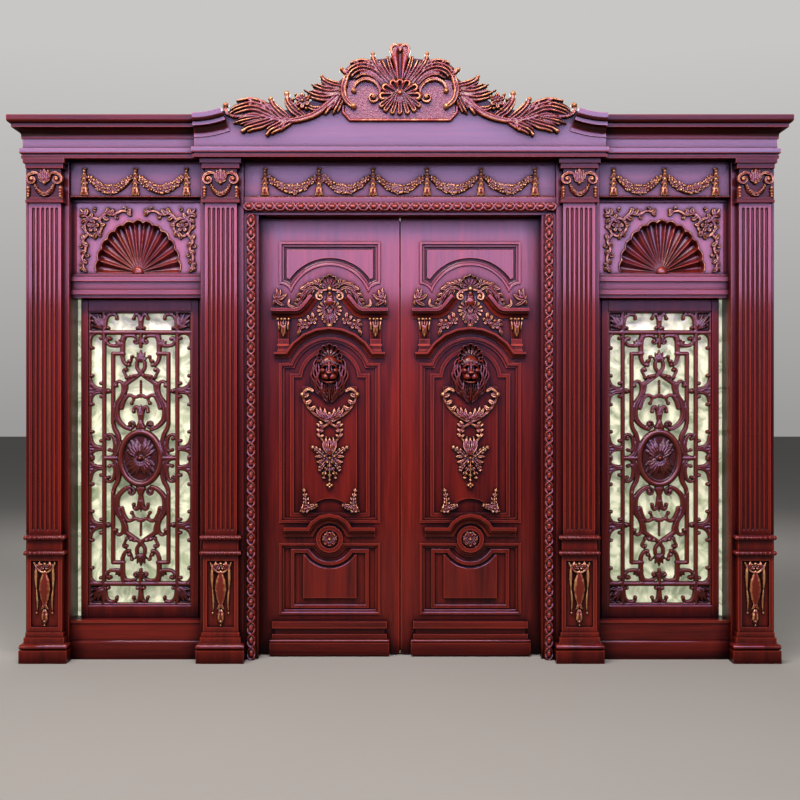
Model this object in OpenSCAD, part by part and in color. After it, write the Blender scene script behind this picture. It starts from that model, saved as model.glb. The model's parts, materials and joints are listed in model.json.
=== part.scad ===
// Carved entrance door: two panelled leaves in a frame with glazed sidelights,
// fluted pilasters, shell panels, an entablature and a carved crest.
// Millimetres, +Z up, the carved front faces -Y.

/* [Doorway] */
// Clear width between the door stops
door_w = 1720; // [1600:2:1900]
// Clear height under the head
door_h = 2695; // [2660:5:2900]
// Thickness of a door leaf
leaf_t = 70; // [60:1:85]
// Cover of the door stop over a leaf's edge
stop_cover = 8; // [7:0.5:14]
// Gap between a leaf and its jamb
hinge_gap = 6; // [5.4:0.1:6.8]
// Gap between the two leaves
meeting_gap = 8; // [7.5:0.5:12]
// Gap under the leaves
floor_gap = 10; // [5:1:16]
// Gap over the leaves
head_gap = 4; // [3:0.5:6]

/* [Surround] */
// Width of a jamb's face
jamb_w = 85; // [80:1:110]
// Depth of the jambs and the head
jamb_d = 190; // [180:1:200]
// Height of the head over the opening
head_h = 105; // [98:1:130]
// Width of a post
post_w = 260; // [256:1:290]
// Depth of a post
post_d = 205; // [196:1:230]
// Width of a sidelight bay
bay_w = 795; // [780:1:900]
// Height of the friezes
frieze_h = 219; // [205:1:260]
// Depth of the friezes
frieze_d = 180; // [150:1:195]

/* [Ribbon moulding] */
// Radius of a bead of the ribbon
bead_r = 24; // [20:0.5:27]
// Radius of the ribbon between beads
ribbon_r = 14; // [9:0.5:18]
// Spacing of the beads on the jambs
bead_pitch = 77; // [70:1:95]
// Spacing of the beads on the head
head_bead_pitch = 63; // [58:1:80]

/* [Pilasters] */
// Width of a fluted shaft
shaft_w = 190; // [184:1:205]
// Thickness of a fluted shaft
shaft_t = 45; // [30:1:52]
// Number of flutes
flute_count = 6; // [4:1:6]
// Spacing of the flutes
flute_pitch = 28; // [24:0.5:29]
// Radius of a flute
flute_r = 9; // [6:0.5:11]
// Plain length over and under the flutes
flute_margin = 27; // [18:1:50]

/* [Pedestals] */
// Height of a pedestal with its bands
pedestal_h = 762; // [740:1:820]
// Width of the pedestal's die
die_w = 210; // [200:1:216]
// Thickness of the pedestal's die
die_t = 55; // [50:1:62]
// Height of the die's top over the floor
die_top = 640; // [600:1:650]
// Height of the plinth block
plinth_h = 78; // [60:1:90]
// Overhang of the plinth beyond the die
plinth_out = 38; // [34:1:42]
// Height of the base mouldings over the plinth
base_h = 102; // [96:1:112]
// Radius of the base's round moulding
torus_r = 19; // [15:0.5:22]
// Width of the sunk panel in the die
die_panel_w = 164; // [140:1:176]
// Margin of the sunk panel at its ends
die_panel_margin = 30; // [20:1:45]
// Depth of the sunk panel
die_panel_sink = 14; // [8:1:18]
// Radius of the two round bands over the die
band_r = 15; // [11:0.5:18]
// Overhang of the bands beyond the die
band_out = 18; // [8:1:22]

/* [Capitals] */
// Height of a capital
capital_h = 265; // [245:1:290]
// Thickness of the abacus
abacus_h = 30; // [22:1:40]
// Width of the abacus
abacus_w = 249; // [240:1:256]
// Width of the necking
neck_w = 226; // [214:1:234]
// Height of the necking
neck_h = 34; // [26:1:42]
// Radius of a volute
volute_r = 42; // [36:1:46]
// Spread of the volutes from the middle
volute_x = 76; // [70:1:82]
// Relief of the capital's carving
capital_relief = 26; // [18:1:32]

/* [Entablature] */
// Height of the lower mouldings
architrave_h = 58; // [54:1:70]
// Height of the plain band
band_h = 59; // [50:1:75]
// Radius of the cornice's hollow
cove_r = 52; // [44:1:60]
// Radius of the cornice's upper round
ovolo_r = 22; // [16:1:28]
// Height of the narrow steps
step_h = 14; // [10:0.5:16]
// Overhang of the lower mouldings
architrave_out = 16; // [12:1:24]
// Height of the cornice's top edge
crown_h = 26; // [18:1:34]
// Front of the plain band, from the back
entab_d = 262; // [256:1:280]
// Step forward of the pediment
break_d = 40; // [30:1:50]
// Overhang of the pediment past the inner posts
pediment_lap = 20; // [10:1:35]
// Rise of the pediment board over the plain band
pediment_rise = 500; // [460:1:520]
// Thickness of the pediment board
pediment_t = 120; // [90:1:150]
// Radius of the curved rakes
rake_r = 620; // [560:5:700]
// Half width of the framed field under the crest
tablet_half = 350; // [320:1:380]
// Height of the framed field
tablet_h = 190; // [160:1:210]
// Depth of the framed field
tablet_sink = 16; // [10:1:24]

/* [Crest] */
// Inset of the crest's ends from the pediment's
crest_inset = 165; // [140:1:200]
// Height of the crest's middle line over the plain band
crest_z = 94; // [84:1:104]
// Relief of the crest
crest_relief = 46; // [34:1:56]

/* [Shell panels] */
// Height of the transom rail
transom_h = 146; // [132:1:160]
// Front of the transom rail, from the back
transom_d = 150; // [140:1:168]
// Front of the shell panel, from the back
shell_d = 120; // [112:1:130]
// Thickness of the shell panel
shell_t = 92; // [88:1:105]
// Half width of the shell
shell_r = 262; // [240:1:275]
// Height of the shell
shell_h = 318; // [290:1:330]
// Number of flutes in the shell
shell_lobes = 12; // [10:2:14]
// Depth of the shell at its rim
shell_sink = 62; // [50:1:70]
// Relief of the carving beside the shell
spandrel_relief = 22; // [14:1:30]

/* [Sidelights] */
// Height of the base panel
base_panel_h = 233; // [215:1:255]
// Front of the base panel, from the back
base_panel_d = 171; // [160:1:185]
// Overhang of the base panel's plinth board
skirt_out = 14; // [10:1:18]
// Height of the base panel's plinth board
skirt_h = 103; // [90:1:115]
// Room at each side of the sash
sash_gap = 35.5; // [25:0.5:46]
// Width of a sash stile
sash_stile = 44; // [38:1:50]
// Height of a sash's lower and upper rail
sash_rail = 74; // [64:1:84]
// Front of the sash, from the back
sash_d = 80; // [72:1:90]
// Thickness of the sash
sash_t = 46; // [40:1:50]
// Thickness of the grille
grille_t = 28; // [20:1:34]
// Width of the grille's straight bars
bar_w = 20; // [16:0.5:24]
// Width of a scroll
scroll_w = 15; // [12:0.5:18]
// Thickness of the glass
glass_t = 8; // [5:0.5:10]
// Distance of the glass from the back
glass_d = 12; // [8:1:18]

/* [Leaf layout] */
// Half width of the panel openings
opening_half = 311; // [300:1:318]
// Top of the bottom rail over the floor
bottom_rail_z = 249; // [240:1:260]
// Top of the lower panel
lower_top_z = 690; // [680:1:700]
// Lower edge of the middle panel
middle_z = 815; // [812:1:818]
// Shoulder of the middle panel
shoulder_z = 1800; // [1790:1:1806]
// Half width of the middle panel's arch at the shoulder
arch_half = 240; // [230:1:246]
// Rise of the middle panel's arch
arch_rise = 160; // [154:1:164]
// Lower edge of the upper panel's corners
upper_z = 2208; // [2200:1:2214]
// Radius of the arch under the upper panel
crown_r = 252; // [246:1:256]
// Top of the arch under the upper panel
crown_z = 2400; // [2394:1:2408]
// Radius of the scooped corners
scoop_r = 78; // [70:1:82]
// Top of the upper panel
upper_top_z = 2546; // [2536:1:2556]

/* [Leaf panels] */
// Clearance round a panel
panel_clear = 0.3; // [0.2:0.05:0.5]
// Thickness of a panel
panel_t = 34; // [28:1:40]
// Depth of a panel's ground under the leaf's face
ground_sink = 18; // [14:1:22]
// Width of the mouldings round a panel
mould_w = 30; // [24:1:34]
// Height of the mouldings over the leaf's face
mould_proud = 8; // [4:1:11]
// Inset of the raised field in the upper panel
upper_inset = 46; // [42:1:54]
// Inset of the inner moulding in the middle panel
inner_inset = 66; // [60:1:72]
// Width of the inner moulding
inner_w = 22; // [16:1:26]
// Inset of the raised field in the middle panel
middle_inset = 144; // [136:1:150]
// Lower inset of the inner mouldings
inner_low = 38; // [34:1:44]
// Margin under the raised field of the middle panel
field_margin = 79; // [72:1:88]
// Radius of the hollow under that field
field_scoop_r = 150; // [140:1:158]
// Lower inset of the raised field in the lower panel
lower_low = 100; // [90:1:110]
// Inset of the inner moulding in the lower panel
lower_inner_inset = 70; // [60:1:78]
// Inset of the raised field in the lower panel
lower_inset = 146; // [138:1:152]

/* [Leaf mouldings] */
// Projection of the leaf's cornices
cornice_out = 46; // [40:1:54]
// Height of the upper cornice
cornice_h = 60; // [50:1:64]
// Half length of the upper cornice
cornice_half = 358; // [350:1:370]
// Middle of the upper cornice over the floor
cornice_z = 2106; // [2100:1:2112]
// Height of the arched cornice
brow_h = 36; // [30:1:40]
// Half length of the arched cornice
brow_half = 339; // [330:1:350]
// Height of the lower cornice
sill_h = 58; // [52:1:64]
// Half length of the lower cornice
sill_half = 280; // [270:1:296]
// Radius of the rosette's ring
ring_r = 83; // [78:1:88]
// Height of the rosette's middle over the floor
ring_z = 716; // [712:1:722]
// Half width of the leaf's base moulding
skirting_half = 336; // [328:1:350]
// Overhang of the leaf's plinth board
skirting_out = 30; // [24:1:36]
// Top of the leaf's base moulding
skirting_top = 212; // [200:1:230]
// Height of the leaf's plinth board
skirting_h = 76; // [66:1:86]
// Projection of the leaf's base moulding
skirting_d = 20; // [14:1:26]

/* [Leaf carving] */
// Middle of the lion's face over the floor
lion_z = 1745; // [1740:1:1752]
// Half width of the mane
lion_r = 116; // [108:1:122]
// Projection of the lion
lion_d = 96; // [70:1:104]
// Half width of the cartouche
cartouche_r = 250; // [240:1:256]
// Middle of the cartouche over the floor
cartouche_z = 2222; // [2216:1:2228]
// Size of the garland
garland_r = 165; // [158:1:168]
// Height of the garland's crossing over the floor
garland_z = 1420; // [1412:1:1428]
// Relief of the leaf's carving
leaf_relief = 26; // [18:1:34]
// Radius of the rosette
rosette_r = 50; // [44:1:56]

/* [Hinges] */
// Radius of a hinge's knuckle
knuckle_r = 9; // [8:0.5:9.5]
// Radius of a hinge pin
pin_r = 4; // [3:0.25:5]
// Radial clearance of a hinge pin
pin_clear = 0.05; // [0.02:0.01:0.09]
// Length of a hinge
hinge_l = 125; // [100:1:150]
// Width of a hinge plate in the gap
plate_w = 46; // [36:1:52]
// Thickness of a hinge plate
plate_t = 2.6; // [2:0.1:2.6]
// Axis of the hinge behind the back
axis_back = 10; // [9.8:0.1:12]
// Gap between two knuckles
knuckle_gap = 0.5; // [0.3:0.1:1]

/* [Hidden] */
$fn = 48;
carve_fn = 6;
disc_fn = 16;

// Overrun of every cut
over = 1;
inner_axis = door_w / 2 + jamb_w + post_w / 2;
outer_axis = inner_axis + post_w + bay_w;
bay_x = inner_axis + post_w / 2 + bay_w / 2;
frieze_z = door_h + head_h;
soffit_z = frieze_z + frieze_h;
band_z = soffit_z + architrave_h;
cornice_base_z = band_z + band_h;
cornice_top_h = step_h + cove_r + step_h + ovolo_r + crown_h;
end_x = outer_axis + post_w / 2;
pediment_half = inner_axis + post_w / 2 + pediment_lap;
crest_half = pediment_half - crest_inset;
sash_w = bay_w - 2 * sash_gap;
shell_room_share = 1.35;
transom_drop_share = 0.3;
transom_z = frieze_z - head_h * transom_drop_share - shell_h * shell_room_share - transom_h;
shell_z = transom_z + transom_h;
hinge_edge = door_w / 2 + stop_cover - hinge_gap;
leaf_w = hinge_edge - meeting_gap / 2;
leaf_x = (hinge_edge + meeting_gap / 2) / 2;
leaf_top = door_h + stop_cover - head_gap;
pin_x = hinge_edge + hinge_gap / 2;
front_reach = entab_d + break_d + cove_r + ovolo_r;
back_reach = axis_back + knuckle_r;
shift_y = (front_reach - back_reach) / 2;

wood = [0.42, 0.11, 0.07];
carved = [0.62, 0.36, 0.16];
pane = [0.86, 0.90, 0.80];
metal = [0.72, 0.58, 0.30];

// Helpers: a run takes a profile drawn as (depth, height), a stand takes relief drawn flat
module run_x(l) {
    rotate([90, 0, 90]) linear_extrude(l, center = true) mirror([1, 0]) children();
}
module run_y(l) {
    rotate([90, 0, 0]) linear_extrude(l) children();
}
module stand(y, z) {
    translate([0, -y, z]) rotate([90, 0, 0]) children();
}
module both() {
    children();
    scale([-1, 1, 1]) children();
}
module side(s) {
    scale([s, 1, 1]) children();
}
module box(x0, x1, y0, y1, z0, z1) {
    translate([x0, y0, z0]) cube([x1 - x0, y1 - y0, z1 - z0]);
}

// Carving: a lobe is a ridged leaf from a to b, a stroke is a rounded band along points
belly_share = 0.45;
root_share = 0.22;
ridge_shares = [0.3, 0.72];
ridge_fall_share = 0.75;
rib_shares = [[-0.5, 0], [-0.26, 1], [0.26, 1], [0.5, 0]];
eye_share = 0.5;
module lobe(a, b, w, h) {
    d = b - a;
    l = norm(d);
    translate([a.x, a.y, 0]) rotate(atan2(d.y, d.x)) hull() polyhedron(
        points = [
            [0, -w * root_share, 0], [l * belly_share, -w / 2, 0], [l, 0, 0],
            [l * belly_share, w / 2, 0], [0, w * root_share, 0],
            [l * ridge_shares[0], 0, h], [l * ridge_shares[1], 0, h * ridge_fall_share]
        ],
        faces = [[0, 1, 2, 3, 4], [5, 6, 0]]
    );
}
module lobes(rows, u, h) {
    for (q = rows) lobe(u * [q[0], q[1]], u * [q[2], q[3]], u * q[4], h);
}
module fan(c, r0, r1, a0, a1, n, w, h) {
    for (i = [0 : n - 1]) {
        a = a0 + (a1 - a0) * i / (n - 1);
        lobe(c + r0 * [cos(a), sin(a)], c + r1 * [cos(a), sin(a)], w, h);
    }
}
module boss(c, r, h) {
    translate([c.x, c.y, 0]) hull() {
        cylinder(h * eye_share, r = r, $fn = carve_fn);
        cylinder(h, r = r * eye_share, $fn = carve_fn);
    }
}
function unit(v) = v / norm(v);
function heading(p, i) = unit(p[min(i + 1, len(p) - 1)] - p[max(i - 1, 0)]);
function rib(p, i, w, h) = let (d = heading(p, i))
    [for (q = rib_shares) [p[i].x - d.y * q[0] * w, p[i].y + d.x * q[0] * w, q[1] * h]];
module stroke(p, w0, w1, h) {
    n = len(p) - 1;
    for (i = [0 : n - 1]) hull() polyhedron(
        points = concat(
            rib(p, i, w0 + (w1 - w0) * i / n, h),
            rib(p, i + 1, w0 + (w1 - w0) * (i + 1) / n, h)
        ),
        faces = [[0, 1, 2, 3], [4, 5, 6, 7]]
    );
}
function arc(c, r0, r1, a0, a1, n) = [for (i = [0 : n])
    let (t = i / n, a = a0 + (a1 - a0) * t, r = r0 + (r1 - r0) * t) c + r * [cos(a), sin(a)]];
function scaled(p, u) = [for (q = p) u * q];
function mitre(p, i) = let (
    d0 = unit(p[max(i, 1)] - p[max(i, 1) - 1]),
    d1 = unit(p[min(i, len(p) - 2) + 1] - p[min(i, len(p) - 2)])
) ([-d0.y, d0.x] + [-d1.y, d1.x]) / (1 + d0 * d1);
module sweep(p, prof) {
    n = len(p);
    m = len(prof);
    polyhedron(
        points = [for (i = [0 : n - 1]) let (b = mitre(p, i)) for (q = prof)
            [p[i].x + b.x * q[1], p[i].y + b.y * q[1], q[0]]],
        faces = concat(
            [[for (j = [m - 1 : -1 : 0]) j]],
            [[for (j = [0 : m - 1]) (n - 1) * m + j]],
            [for (i = [0 : n - 2]) for (j = [0 : m - 1]) let (k = (j + 1) % m)
                [i * m + j, i * m + k, (i + 1) * m + k, (i + 1) * m + j]]
        )
    );
}
// Section of a leaf cornice as shares of its projection and height, stepping out upwards
cornice_shares = [[0, 0.5], [0, -0.5], [0.3, -0.5], [0.38, -0.22], [0.62, -0.05], [0.72, 0.15],
    [1, 0.2], [1, 0.5]];
function cornice_section(d, h) = [for (q = cornice_shares) [d * q[0], h * q[1]]];

// Posts and pilasters
module post() {
    color(wood) box(-post_w / 2, post_w / 2, -post_d, 0, 0, soffit_z);
}
module flute(l) {
    rotate_extrude() intersection() {
        translate([0, -flute_r]) square([flute_r, l + 2 * flute_r]);
        union() {
            circle(flute_r);
            translate([-flute_r, 0]) square([2 * flute_r, l]);
            translate([0, l]) circle(flute_r);
        }
    }
}
module shaft() {
    l = soffit_z - capital_h - pedestal_h;
    f = l - 2 * flute_margin - 2 * flute_r;
    color(wood) difference() {
        box(-shaft_w / 2, shaft_w / 2, -post_d - shaft_t, -post_d, pedestal_h, pedestal_h + l);
        for (i = [0 : flute_count - 1])
            translate([
                (i - (flute_count - 1) / 2) * flute_pitch, -post_d - shaft_t,
                pedestal_h + flute_margin + flute_r
            ]) flute(f);
    }
}
// Profile of a pedestal as (depth, height) out of the die's face
module pedestal_profile(d) {
    square([d, pedestal_h]);
    square([d + plinth_out, plinth_h]);
    translate([0, plinth_h]) square([d + plinth_out - torus_r, base_h * torus_top_share]);
    translate([d + plinth_out - torus_r, plinth_h + torus_r]) circle(torus_r);
    translate([0, plinth_h]) square([d + plinth_out * step_out_share, base_h * step_top_share]);
    translate([0, plinth_h]) square([d + plinth_out * fillet_out_share, base_h]);
    for (z = [die_top + band_r, pedestal_h - band_r])
        translate([d + band_out - band_r, z]) circle(band_r);
    for (z = [die_top, pedestal_h - 2 * band_r])
        translate([0, z]) square([d + band_out - band_r, 2 * band_r]);
}
torus_top_share = 0.42;
step_out_share = 0.42;
step_top_share = 0.72;
fillet_out_share = 0.2;
module pedestal_side() {
    both() pedestal_profile(die_w / 2);
}
trophy_shares = [
    [-0.42, 0.86, 0, 0.62, 0.3], [0.42, 0.86, 0, 0.62, 0.3], [0, 0.55, 0, -0.5, 0.34],
    [-0.6, 0.85, -0.6, 0.1, 0.22], [0.6, 0.85, 0.6, 0.1, 0.22], [0, -0.45, 0, -0.92, 0.26]
];
module pedestal() {
    panel_z0 = plinth_h + base_h + die_panel_margin;
    panel_z1 = die_top - die_panel_margin;
    color(wood) union() {
        difference() {
            intersection() {
                translate([0, -post_d, 0]) run_x(die_w + 4 * plinth_out) pedestal_profile(die_t);
                translate([0, -post_d, 0]) run_y(die_t + 2 * plinth_out) pedestal_side();
            }
            box(
                -die_panel_w / 2, die_panel_w / 2, -post_d - die_t - over,
                -post_d - die_t + die_panel_sink, panel_z0, panel_z1
            );
        }
        stand(post_d + die_t - die_panel_sink - over, (panel_z0 + panel_z1) / 2)
            for (q = trophy_shares)
                lobe(
                    [q[0] * die_panel_w / 2, q[1] * (panel_z1 - panel_z0) / 2],
                    [q[2] * die_panel_w / 2, q[3] * (panel_z1 - panel_z0) / 2],
                    q[4] * die_panel_w, die_panel_sink + over
                );
    }
}
neck_share = 0.86;
leaf_lift_share = 0.5;
capital_lobe_shares = [
    [0, -0.2, 0, 0.66, 0.5], [0.8, -0.1, 0.82, -0.8, 0.22], [-0.8, -0.1, -0.82, -0.8, 0.22]
];
volute_turn = 440;
volute_in_share = 0.28;
volute_band_share = 0.34;
capital_swag_shares = [[-0.72, -0.1], [-0.3, -0.5], [0.3, -0.5], [0.72, -0.1]];
module capital() {
    z0 = soffit_z - capital_h;
    d = post_d + shaft_t;
    zc = z0 + capital_h * leaf_lift_share;
    color(carved) union() {
        box(-shaft_w / 2, shaft_w / 2, -d, -post_d, z0, soffit_z);
        box(-neck_w / 2, neck_w / 2, -d - (neck_w - shaft_w) / 2, -post_d, z0, z0 + neck_h / 2);
        box(
            -neck_w * neck_share / 2, neck_w * neck_share / 2, -d - (neck_w * neck_share - shaft_w) / 2,
            -post_d, z0, z0 + neck_h
        );
        box(
            -abacus_w / 2, abacus_w / 2, -d - (abacus_w - shaft_w) / 2, -post_d,
            soffit_z - abacus_h, soffit_z
        );
        box(
            -neck_w / 2, neck_w / 2, -d - (neck_w - shaft_w) / 2, -post_d,
            soffit_z - 2 * abacus_h, soffit_z - abacus_h + over
        );
        stand(d - over, zc) {
            lobes(capital_lobe_shares, volute_x, capital_relief);
            stroke(scaled(capital_swag_shares, volute_x), volute_r / 2, volute_r / 2, capital_relief / 2);
            both() {
                stroke(
                    arc(
                        [volute_x, volute_r / 2], volute_r * (1 - volute_band_share / 2),
                        volute_r * volute_in_share, 100, 100 - volute_turn, 5
                    ),
                    volute_r * volute_band_share, volute_r * volute_band_share / 2, capital_relief
                );
                boss([volute_x, volute_r / 2], volute_r * volute_in_share, capital_relief);
            }
        }
    }
}

// Entablature: profiles as (depth, height) over the soffit
module architrave_profile(d) {
    square([d, architrave_h + band_h]);
    square([d + architrave_out / 2, architrave_h * low_share]);
    translate([0, architrave_h * low_share]) square([d, architrave_h * gap_share]);
    translate([0, architrave_h * high_share]) square([d + architrave_out,
        architrave_h * (1 - high_share)]);
}
low_share = 0.3;
gap_share = 0.2;
high_share = 0.5;
module crown_profile(d) {
    square([d, cornice_top_h]);
    square([d + step_h / 2, step_h]);
    translate([d, step_h]) difference() {
        square(cove_r);
        translate([cove_r, 0]) circle(cove_r - step_h / 2);
    }
    translate([0, step_h + cove_r]) square([d + cove_r, step_h]);
    translate([0, step_h + cove_r + step_h]) square([d + cove_r, ovolo_r]);
    translate([d + cove_r, 2 * step_h + cove_r + ovolo_r]) intersection() {
        circle(ovolo_r);
        translate([0, -ovolo_r]) square(ovolo_r);
    }
    translate([0, 2 * step_h + cove_r + ovolo_r]) square([d + cove_r + ovolo_r, crown_h]);
}
module entab_profile(d) {
    architrave_profile(d);
    translate([0, architrave_h + band_h]) crown_profile(d);
}
module cornice() {
    reach = cove_r + ovolo_r + over;
    color(wood) translate([0, 0, soffit_z]) intersection() {
        translate([(pediment_half + end_x + reach) / 2, 0, 0])
            run_x(end_x + reach - pediment_half) entab_profile(entab_d);
        translate([pediment_half, 0, 0]) run_y(entab_d + reach) entab_profile(end_x - pediment_half);
    }
}
rake_turn = 20;
// Top outline of the pediment board, as shares of its half width and its rise
board_shares = [
    [0.86, 0.315], [0.72, 0.3], [0.56, 0.32], [0.44, 0.42], [0.33, 0.6], [0.24, 0.78], [0.13, 0.92],
        [0, 0.96]
];
module board_outline() {
    both() polygon(concat(
        [[-over, -band_h], [pediment_half, -band_h], [pediment_half, cornice_top_h]],
        [for (q = board_shares) [pediment_half * q[0], pediment_rise * q[1]]],
        [[-over, pediment_rise * board_shares[7][1]]]
    ));
}
tablet_corner_share = 0.3;
module tablet_outline() {
    both() polygon([
        [-over, tablet_h], [tablet_half, tablet_h], [tablet_half, tablet_h * tablet_corner_share],
        [tablet_half * (1 - tablet_corner_share / 2), 0], [-over, 0]
    ]);
}
module rake() {
    multmatrix([
        [0, -1, 0, pediment_half], [0, 0, 1, -entab_d - break_d], [-1, 0, 0, cornice_base_z + rake_r]
    ]) rotate_extrude(angle = rake_turn) translate([rake_r, 0]) mirror([1, 1]) translate([-over, 0])
        crown_profile(over);
}
module pediment() {
    reach = architrave_out + over;
    color(wood) union() {
        difference() {
            translate([0, 0, soffit_z]) intersection() {
                run_x(2 * (pediment_half + reach)) architrave_profile(entab_d + break_d);
                run_y(entab_d + break_d + reach) both() architrave_profile(pediment_half);
            }
            both() box(
                pediment_half, pediment_half + reach, -entab_d - architrave_out, over,
                soffit_z - over, cornice_base_z + over
            );
        }
        difference() {
            translate([0, -entab_d - break_d + pediment_t,
                cornice_base_z]) run_y(pediment_t) board_outline();
            translate([0, -entab_d - break_d + tablet_sink, cornice_base_z + crest_z])
                run_y(tablet_sink + over) tablet_outline();
        }
        both() rake();
    }
}
plume_shares = [
    [0.011, 0.21, 0.068, 0.407, 0.06], [0.034, 0.204, 0.118, 0.373, 0.06],
        [0.056, 0.193, 0.169, 0.34, 0.06],
    [0.085, 0.17, 0.26, 0.26, 0.065]
];
crest_top_shares = [[0, 0.2, 0, 0.441, 0.08]];
crest_leaf_shares = [
    [0.36, 0.126, 0.439, 0.261, 0.08], [0.417, 0.08, 0.505, 0.216, 0.08], [0.545, 0.02, 0.642, 0.182, 0.09],
    [0.642, 0.013, 0.732, 0.148, 0.08], [0.74, 0.019, 0.9, 0.14, 0.09], [0.63, 0.01, 0.777, -0.066, 0.06],
    [0.72, 0.02, 0.88, -0.035, 0.06], [0.86, 0.06, 1, 0.11, 0.06]
];
crest_stem_shares = [
    [0.31, 0.216], [0.36, 0.126], [0.462, 0.047], [0.563, 0.013], [0.72, 0.016], [0.946, 0.097]
];
crest_scroll_shares = [[0.27, 0.069], [0.31, 0.126], [0.31, 0.204], [0.253, 0.278], [0.158, 0.306]];
crest_eye_shares = [0.172, 0.1425, 0.037];
crest_shell_shares = [0, 0.1425, 0.02, 0.1];
crest_band_share = 0.042;
module crest_carving() {
    u = crest_half;
    e = crest_eye_shares;
    c = u * [crest_shell_shares[0], crest_shell_shares[1]];
    color(carved) stand(entab_d + break_d, cornice_base_z + crest_z) {
        lobes(crest_top_shares, u, crest_relief);
        fan(c, u * crest_shell_shares[2], u * crest_shell_shares[3], 15, 165, 5,
            u * crest_band_share, crest_relief);
        fan(c, u * crest_shell_shares[2], u * crest_shell_shares[3], -160, -20, 4,
            u * crest_band_share, crest_relief);
        boss(c, u * crest_shell_shares[2] * 2, crest_relief);
        both() {
            lobes(plume_shares, u, crest_relief);
            lobes(crest_leaf_shares, u, crest_relief);
            stroke(scaled(crest_stem_shares, u), u * crest_band_share, u * crest_band_share / 2,
                crest_relief);
            stroke(scaled(crest_scroll_shares, u), u * crest_band_share, u * crest_band_share,
                crest_relief);
            stroke(
                arc(u * [e[0], e[1]], u * e[2], u * e[2] * eye_share, 200, -160, 5),
                u * crest_band_share * eye_share, u * crest_band_share * eye_share, crest_relief
            );
            lobe(u * [e[0], e[1] - e[2]], u * [crest_shell_shares[3] / 2, e[1]],
                u * crest_band_share, crest_relief);
            lobe(u * [e[0], e[1]], u * [crest_scroll_shares[0][0], e[1]], u * crest_band_share,
                crest_relief);
            boss(u * [e[0], e[1]], u * e[2] * eye_share, crest_relief);
        }
    }
}

// Friezes with their swags
module frieze(w) {
    color(wood) union() {
        box(-w / 2, w / 2, -frieze_d, 0, frieze_z, soffit_z);
        box(-w / 2, w / 2, -frieze_d - frieze_lip, 0, frieze_z, frieze_z + frieze_lip);
    }
}
frieze_lip = band_r / 2;
swag_shares = [0.56, 0.17, 0.15, 0.1];
drop_shares = [[0, 0.72, 0, 0.42, 0.16], [0, 0.5, 0, 0.05, 0.13]];
swag_steps = 3;
swag_inset_share = 0.1;
module swag(w) {
    h = frieze_h;
    i = w * swag_inset_share;
    both() stroke(
        [for (k = [0 : swag_steps]) let (t = k / swag_steps)
            [t * (w / 2 - i), h * (swag_shares[1] + (swag_shares[0] - swag_shares[1]) * t * t)]],
        h * (swag_shares[2] + swag_shares[3]), h * swag_shares[2], leaf_relief
    );
}
module swags(pitch, n) {
    color(carved) stand(frieze_d, frieze_z) {
        for (k = [0 : n - 1]) translate([(k - (n - 1) / 2) * pitch, 0]) swag(pitch);
        for (k = [0 : n]) translate([(k - n / 2) * pitch, 0]) {
            lobes(drop_shares, frieze_h, leaf_relief);
            boss([0, frieze_h * swag_shares[0] * drop_knot_share], bead_r, leaf_relief);
        }
    }
}
drop_knot_share = 1.08;
side_pitch_share = 0.388;
center_pitch_share = 0.19;

// Shell panels over the sidelights
spandrel_leaf_shares = [
    [0.82, 1.26, 0.3, 1.5, 0.17], [0.72, 1.3, 0.16, 1.42, 0.15],
    [1.2, 0.86, 1.32, 0.34, 0.17], [1.3, 0.5, 1.34, 0.06, 0.15],
    [1.2, 1.14, 1.4, 1.44, 0.16], [1.24, 1.0, 1.44, 1.1, 0.14]
];
spandrel_ring_shares = [1.02, 1.04, 0.22];
shell_inner_share = 0.14;
shell_lobe_share = 0.145;
function shell_reach(a) = 1 / sqrt(pow(cos(a) / shell_r, 2) + pow(sin(a) / shell_h, 2));
module shell_flute(a) {
    w = shell_r * shell_lobe_share;
    r = shell_reach(a) - w;
    rotate(a) hull() {
        translate([shell_r * shell_inner_share, 0, 0]) cylinder(over, r = w * root_share, $fn = carve_fn);
        translate([r, 0, 0]) cylinder(over, r = w, $fn = carve_fn);
        translate([r, 0, -shell_sink]) cylinder(over, r = w * shell_deep_share, $fn = carve_fn);
    }
}
shell_deep_share = 0.6;
module shell_panel() {
    ring = shell_r * spandrel_ring_shares[2];
    c = shell_r * [spandrel_ring_shares[0], spandrel_ring_shares[1]];
    top = frieze_z;
    color(wood) union() {
        difference() {
            box(-bay_w / 2, bay_w / 2, -shell_d, -shell_d + shell_t, shell_z - over, top);
            stand(shell_d, shell_z + step_h) {
                for (i = [0 : shell_lobes - 1]) shell_flute(180 * (i + 0.5) / shell_lobes);
            }
        }
        box(-bay_w / 2, bay_w / 2, -transom_d, 0, transom_z, shell_z);
        box(
            -bay_w / 2, bay_w / 2, -transom_d - step_h, -shell_d + shell_t,
            transom_z + transom_h * low_share / 2, transom_z + transom_h * gap_share
        );
        box(
            -bay_w / 2, bay_w / 2, -transom_d - step_h, -shell_d + shell_t,
            shell_z - transom_h * gap_share, shell_z - transom_h * low_share / 2
        );
        stand(shell_d - over, shell_z + step_h) {
            boss([0, ring / 2], ring / 2, spandrel_relief);
            both() {
                lobes(spandrel_leaf_shares, shell_r, spandrel_relief);
                stroke(arc(c, ring, ring, 230, -50, 5), ring * eye_share, ring * eye_share,
                    spandrel_relief);
                boss(c, ring * eye_share, spandrel_relief);
            }
        }
    }
}

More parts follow.
